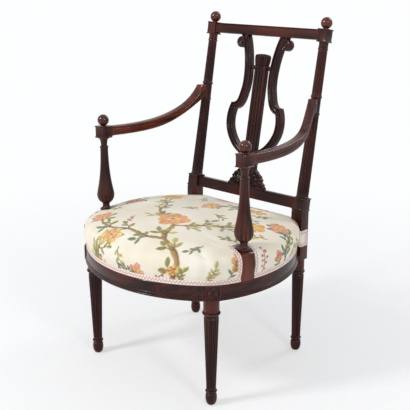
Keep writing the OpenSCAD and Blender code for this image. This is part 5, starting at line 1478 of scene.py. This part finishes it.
laid = [(mirrored(shell, side), colours) for (shell, colours), sides in braid_parts() for side in sides]
braid = make("gimp_band", merged(*(shell for shell, _ in laid)), BRAID, "gimp_braid", sharp=60.0)
painted(braid, np.vstack([colours for _, colours in laid]))

# ---------------------------------------------------------------- studio
AZIMUTH, PITCH, LENS = math.radians(41.896), math.radians(16.689), 71.54
CAMERA_AT = (1.4521, -1.5958, 1.0930)
WHITE = (0.985, 0.992, 1.0, 1)
forward = Vector((-math.sin(AZIMUTH) * math.cos(PITCH), math.cos(AZIMUTH) * math.cos(PITCH), -math.sin(PITCH)))
right = Vector((math.cos(AZIMUTH), math.sin(AZIMUTH), 0))
data = bpy.data.cameras.new("camera")
data.lens, data.sensor_width, data.sensor_fit, data.clip_end = LENS, 36.0, "HORIZONTAL", 60.0
camera = shown("camera", data)
camera.matrix_world = Matrix([*zip(right, right.cross(forward), -forward, CAMERA_AT), (0, 0, 0, 1)])
scene.camera = camera


def lamp(name, at, aim_z, size, power, colour=(1, 1, 1)):
    """Square lamp that looks at a height on the chair's axis."""
    light = bpy.data.lights.new(name, "AREA")
    light.shape, light.size, light.energy, light.color = "SQUARE", size, power, colour
    piece = shown(name, light)
    piece.location = at
    piece.rotation_euler = (Vector((0, 0, aim_z)) - Vector(at)).to_track_quat("-Z", "Y").to_euler()


lamp("key", (-1.1, -2.6, 2.6), 0.45, 0.6, 66.0, (1.0, 0.99, 0.97))
lamp("fill", (2.7, -1.0, 2.0), 0.45, 0.5, 22.0, (0.98, 0.99, 1.0))
lamp("back", (0.6, 2.4, 2.6), 0.6, 0.7, 18.0)

world = bpy.data.worlds.new("world")
scene.world = world
world.use_nodes = True
w = Nodes(world.node_tree)
ray = w.add("ShaderNodeLightPath").outputs
seen = w.math("MAXIMUM", ray["Is Camera Ray"], ray["Is Glossy Ray"])
seen = w.math("MAXIMUM", seen, ray["Is Transmission Ray"])
room = w.add("ShaderNodeBackground", Color=(0.98, 0.99, 1.0, 1), Strength=0.5).outputs[0]
white = w.add("ShaderNodeBackground", Color=WHITE, Strength=1.0).outputs[0]
w.add("ShaderNodeOutputWorld", Surface=w.blend(seen, room, white))

# seen by the camera the floor goes over into the white background, more so away from the chair
n = Surface("floor")
n.set(Base_Color=n.ramp(n.noise(40.0, 3.0), (0.3, srgb(246, 247, 249)), (0.7, srgb(249, 250, 252))),
      Roughness=0.9, Specular_IOR_Level=0.0)
glow = n.add("ShaderNodeEmission", Color=WHITE, Strength=1.0).outputs[0]
away = n.add("ShaderNodeVectorMath", operation="LENGTH")
n.feed(away.inputs[0], n.coords((1.0, 1.0, 0.0)))
share = n.range(away.outputs["Value"], 0.5, 1.0, interpolation_type="SMOOTHSTEP", From_Min=0.35, From_Max=2.1)
ray = n.add("ShaderNodeLightPath").outputs
seen = n.math("MAXIMUM", ray["Is Camera Ray"], ray["Is Transmission Ray"])
n.feed(n.out.inputs["Surface"], n.blend(n.math("MULTIPLY", share, seen), n.shader.outputs["BSDF"], glow))
floor_mesh = bpy.data.meshes.new("floor")
floor_mesh.from_pydata([(-9, -9, 0), (9, -9, 0), (9, 9, 0), (-9, 9, 0)], [], [(0, 1, 2, 3)])
floor_mesh.materials.append(n.material)
shown("floor", floor_mesh)

scene.view_settings.view_transform = "Standard"
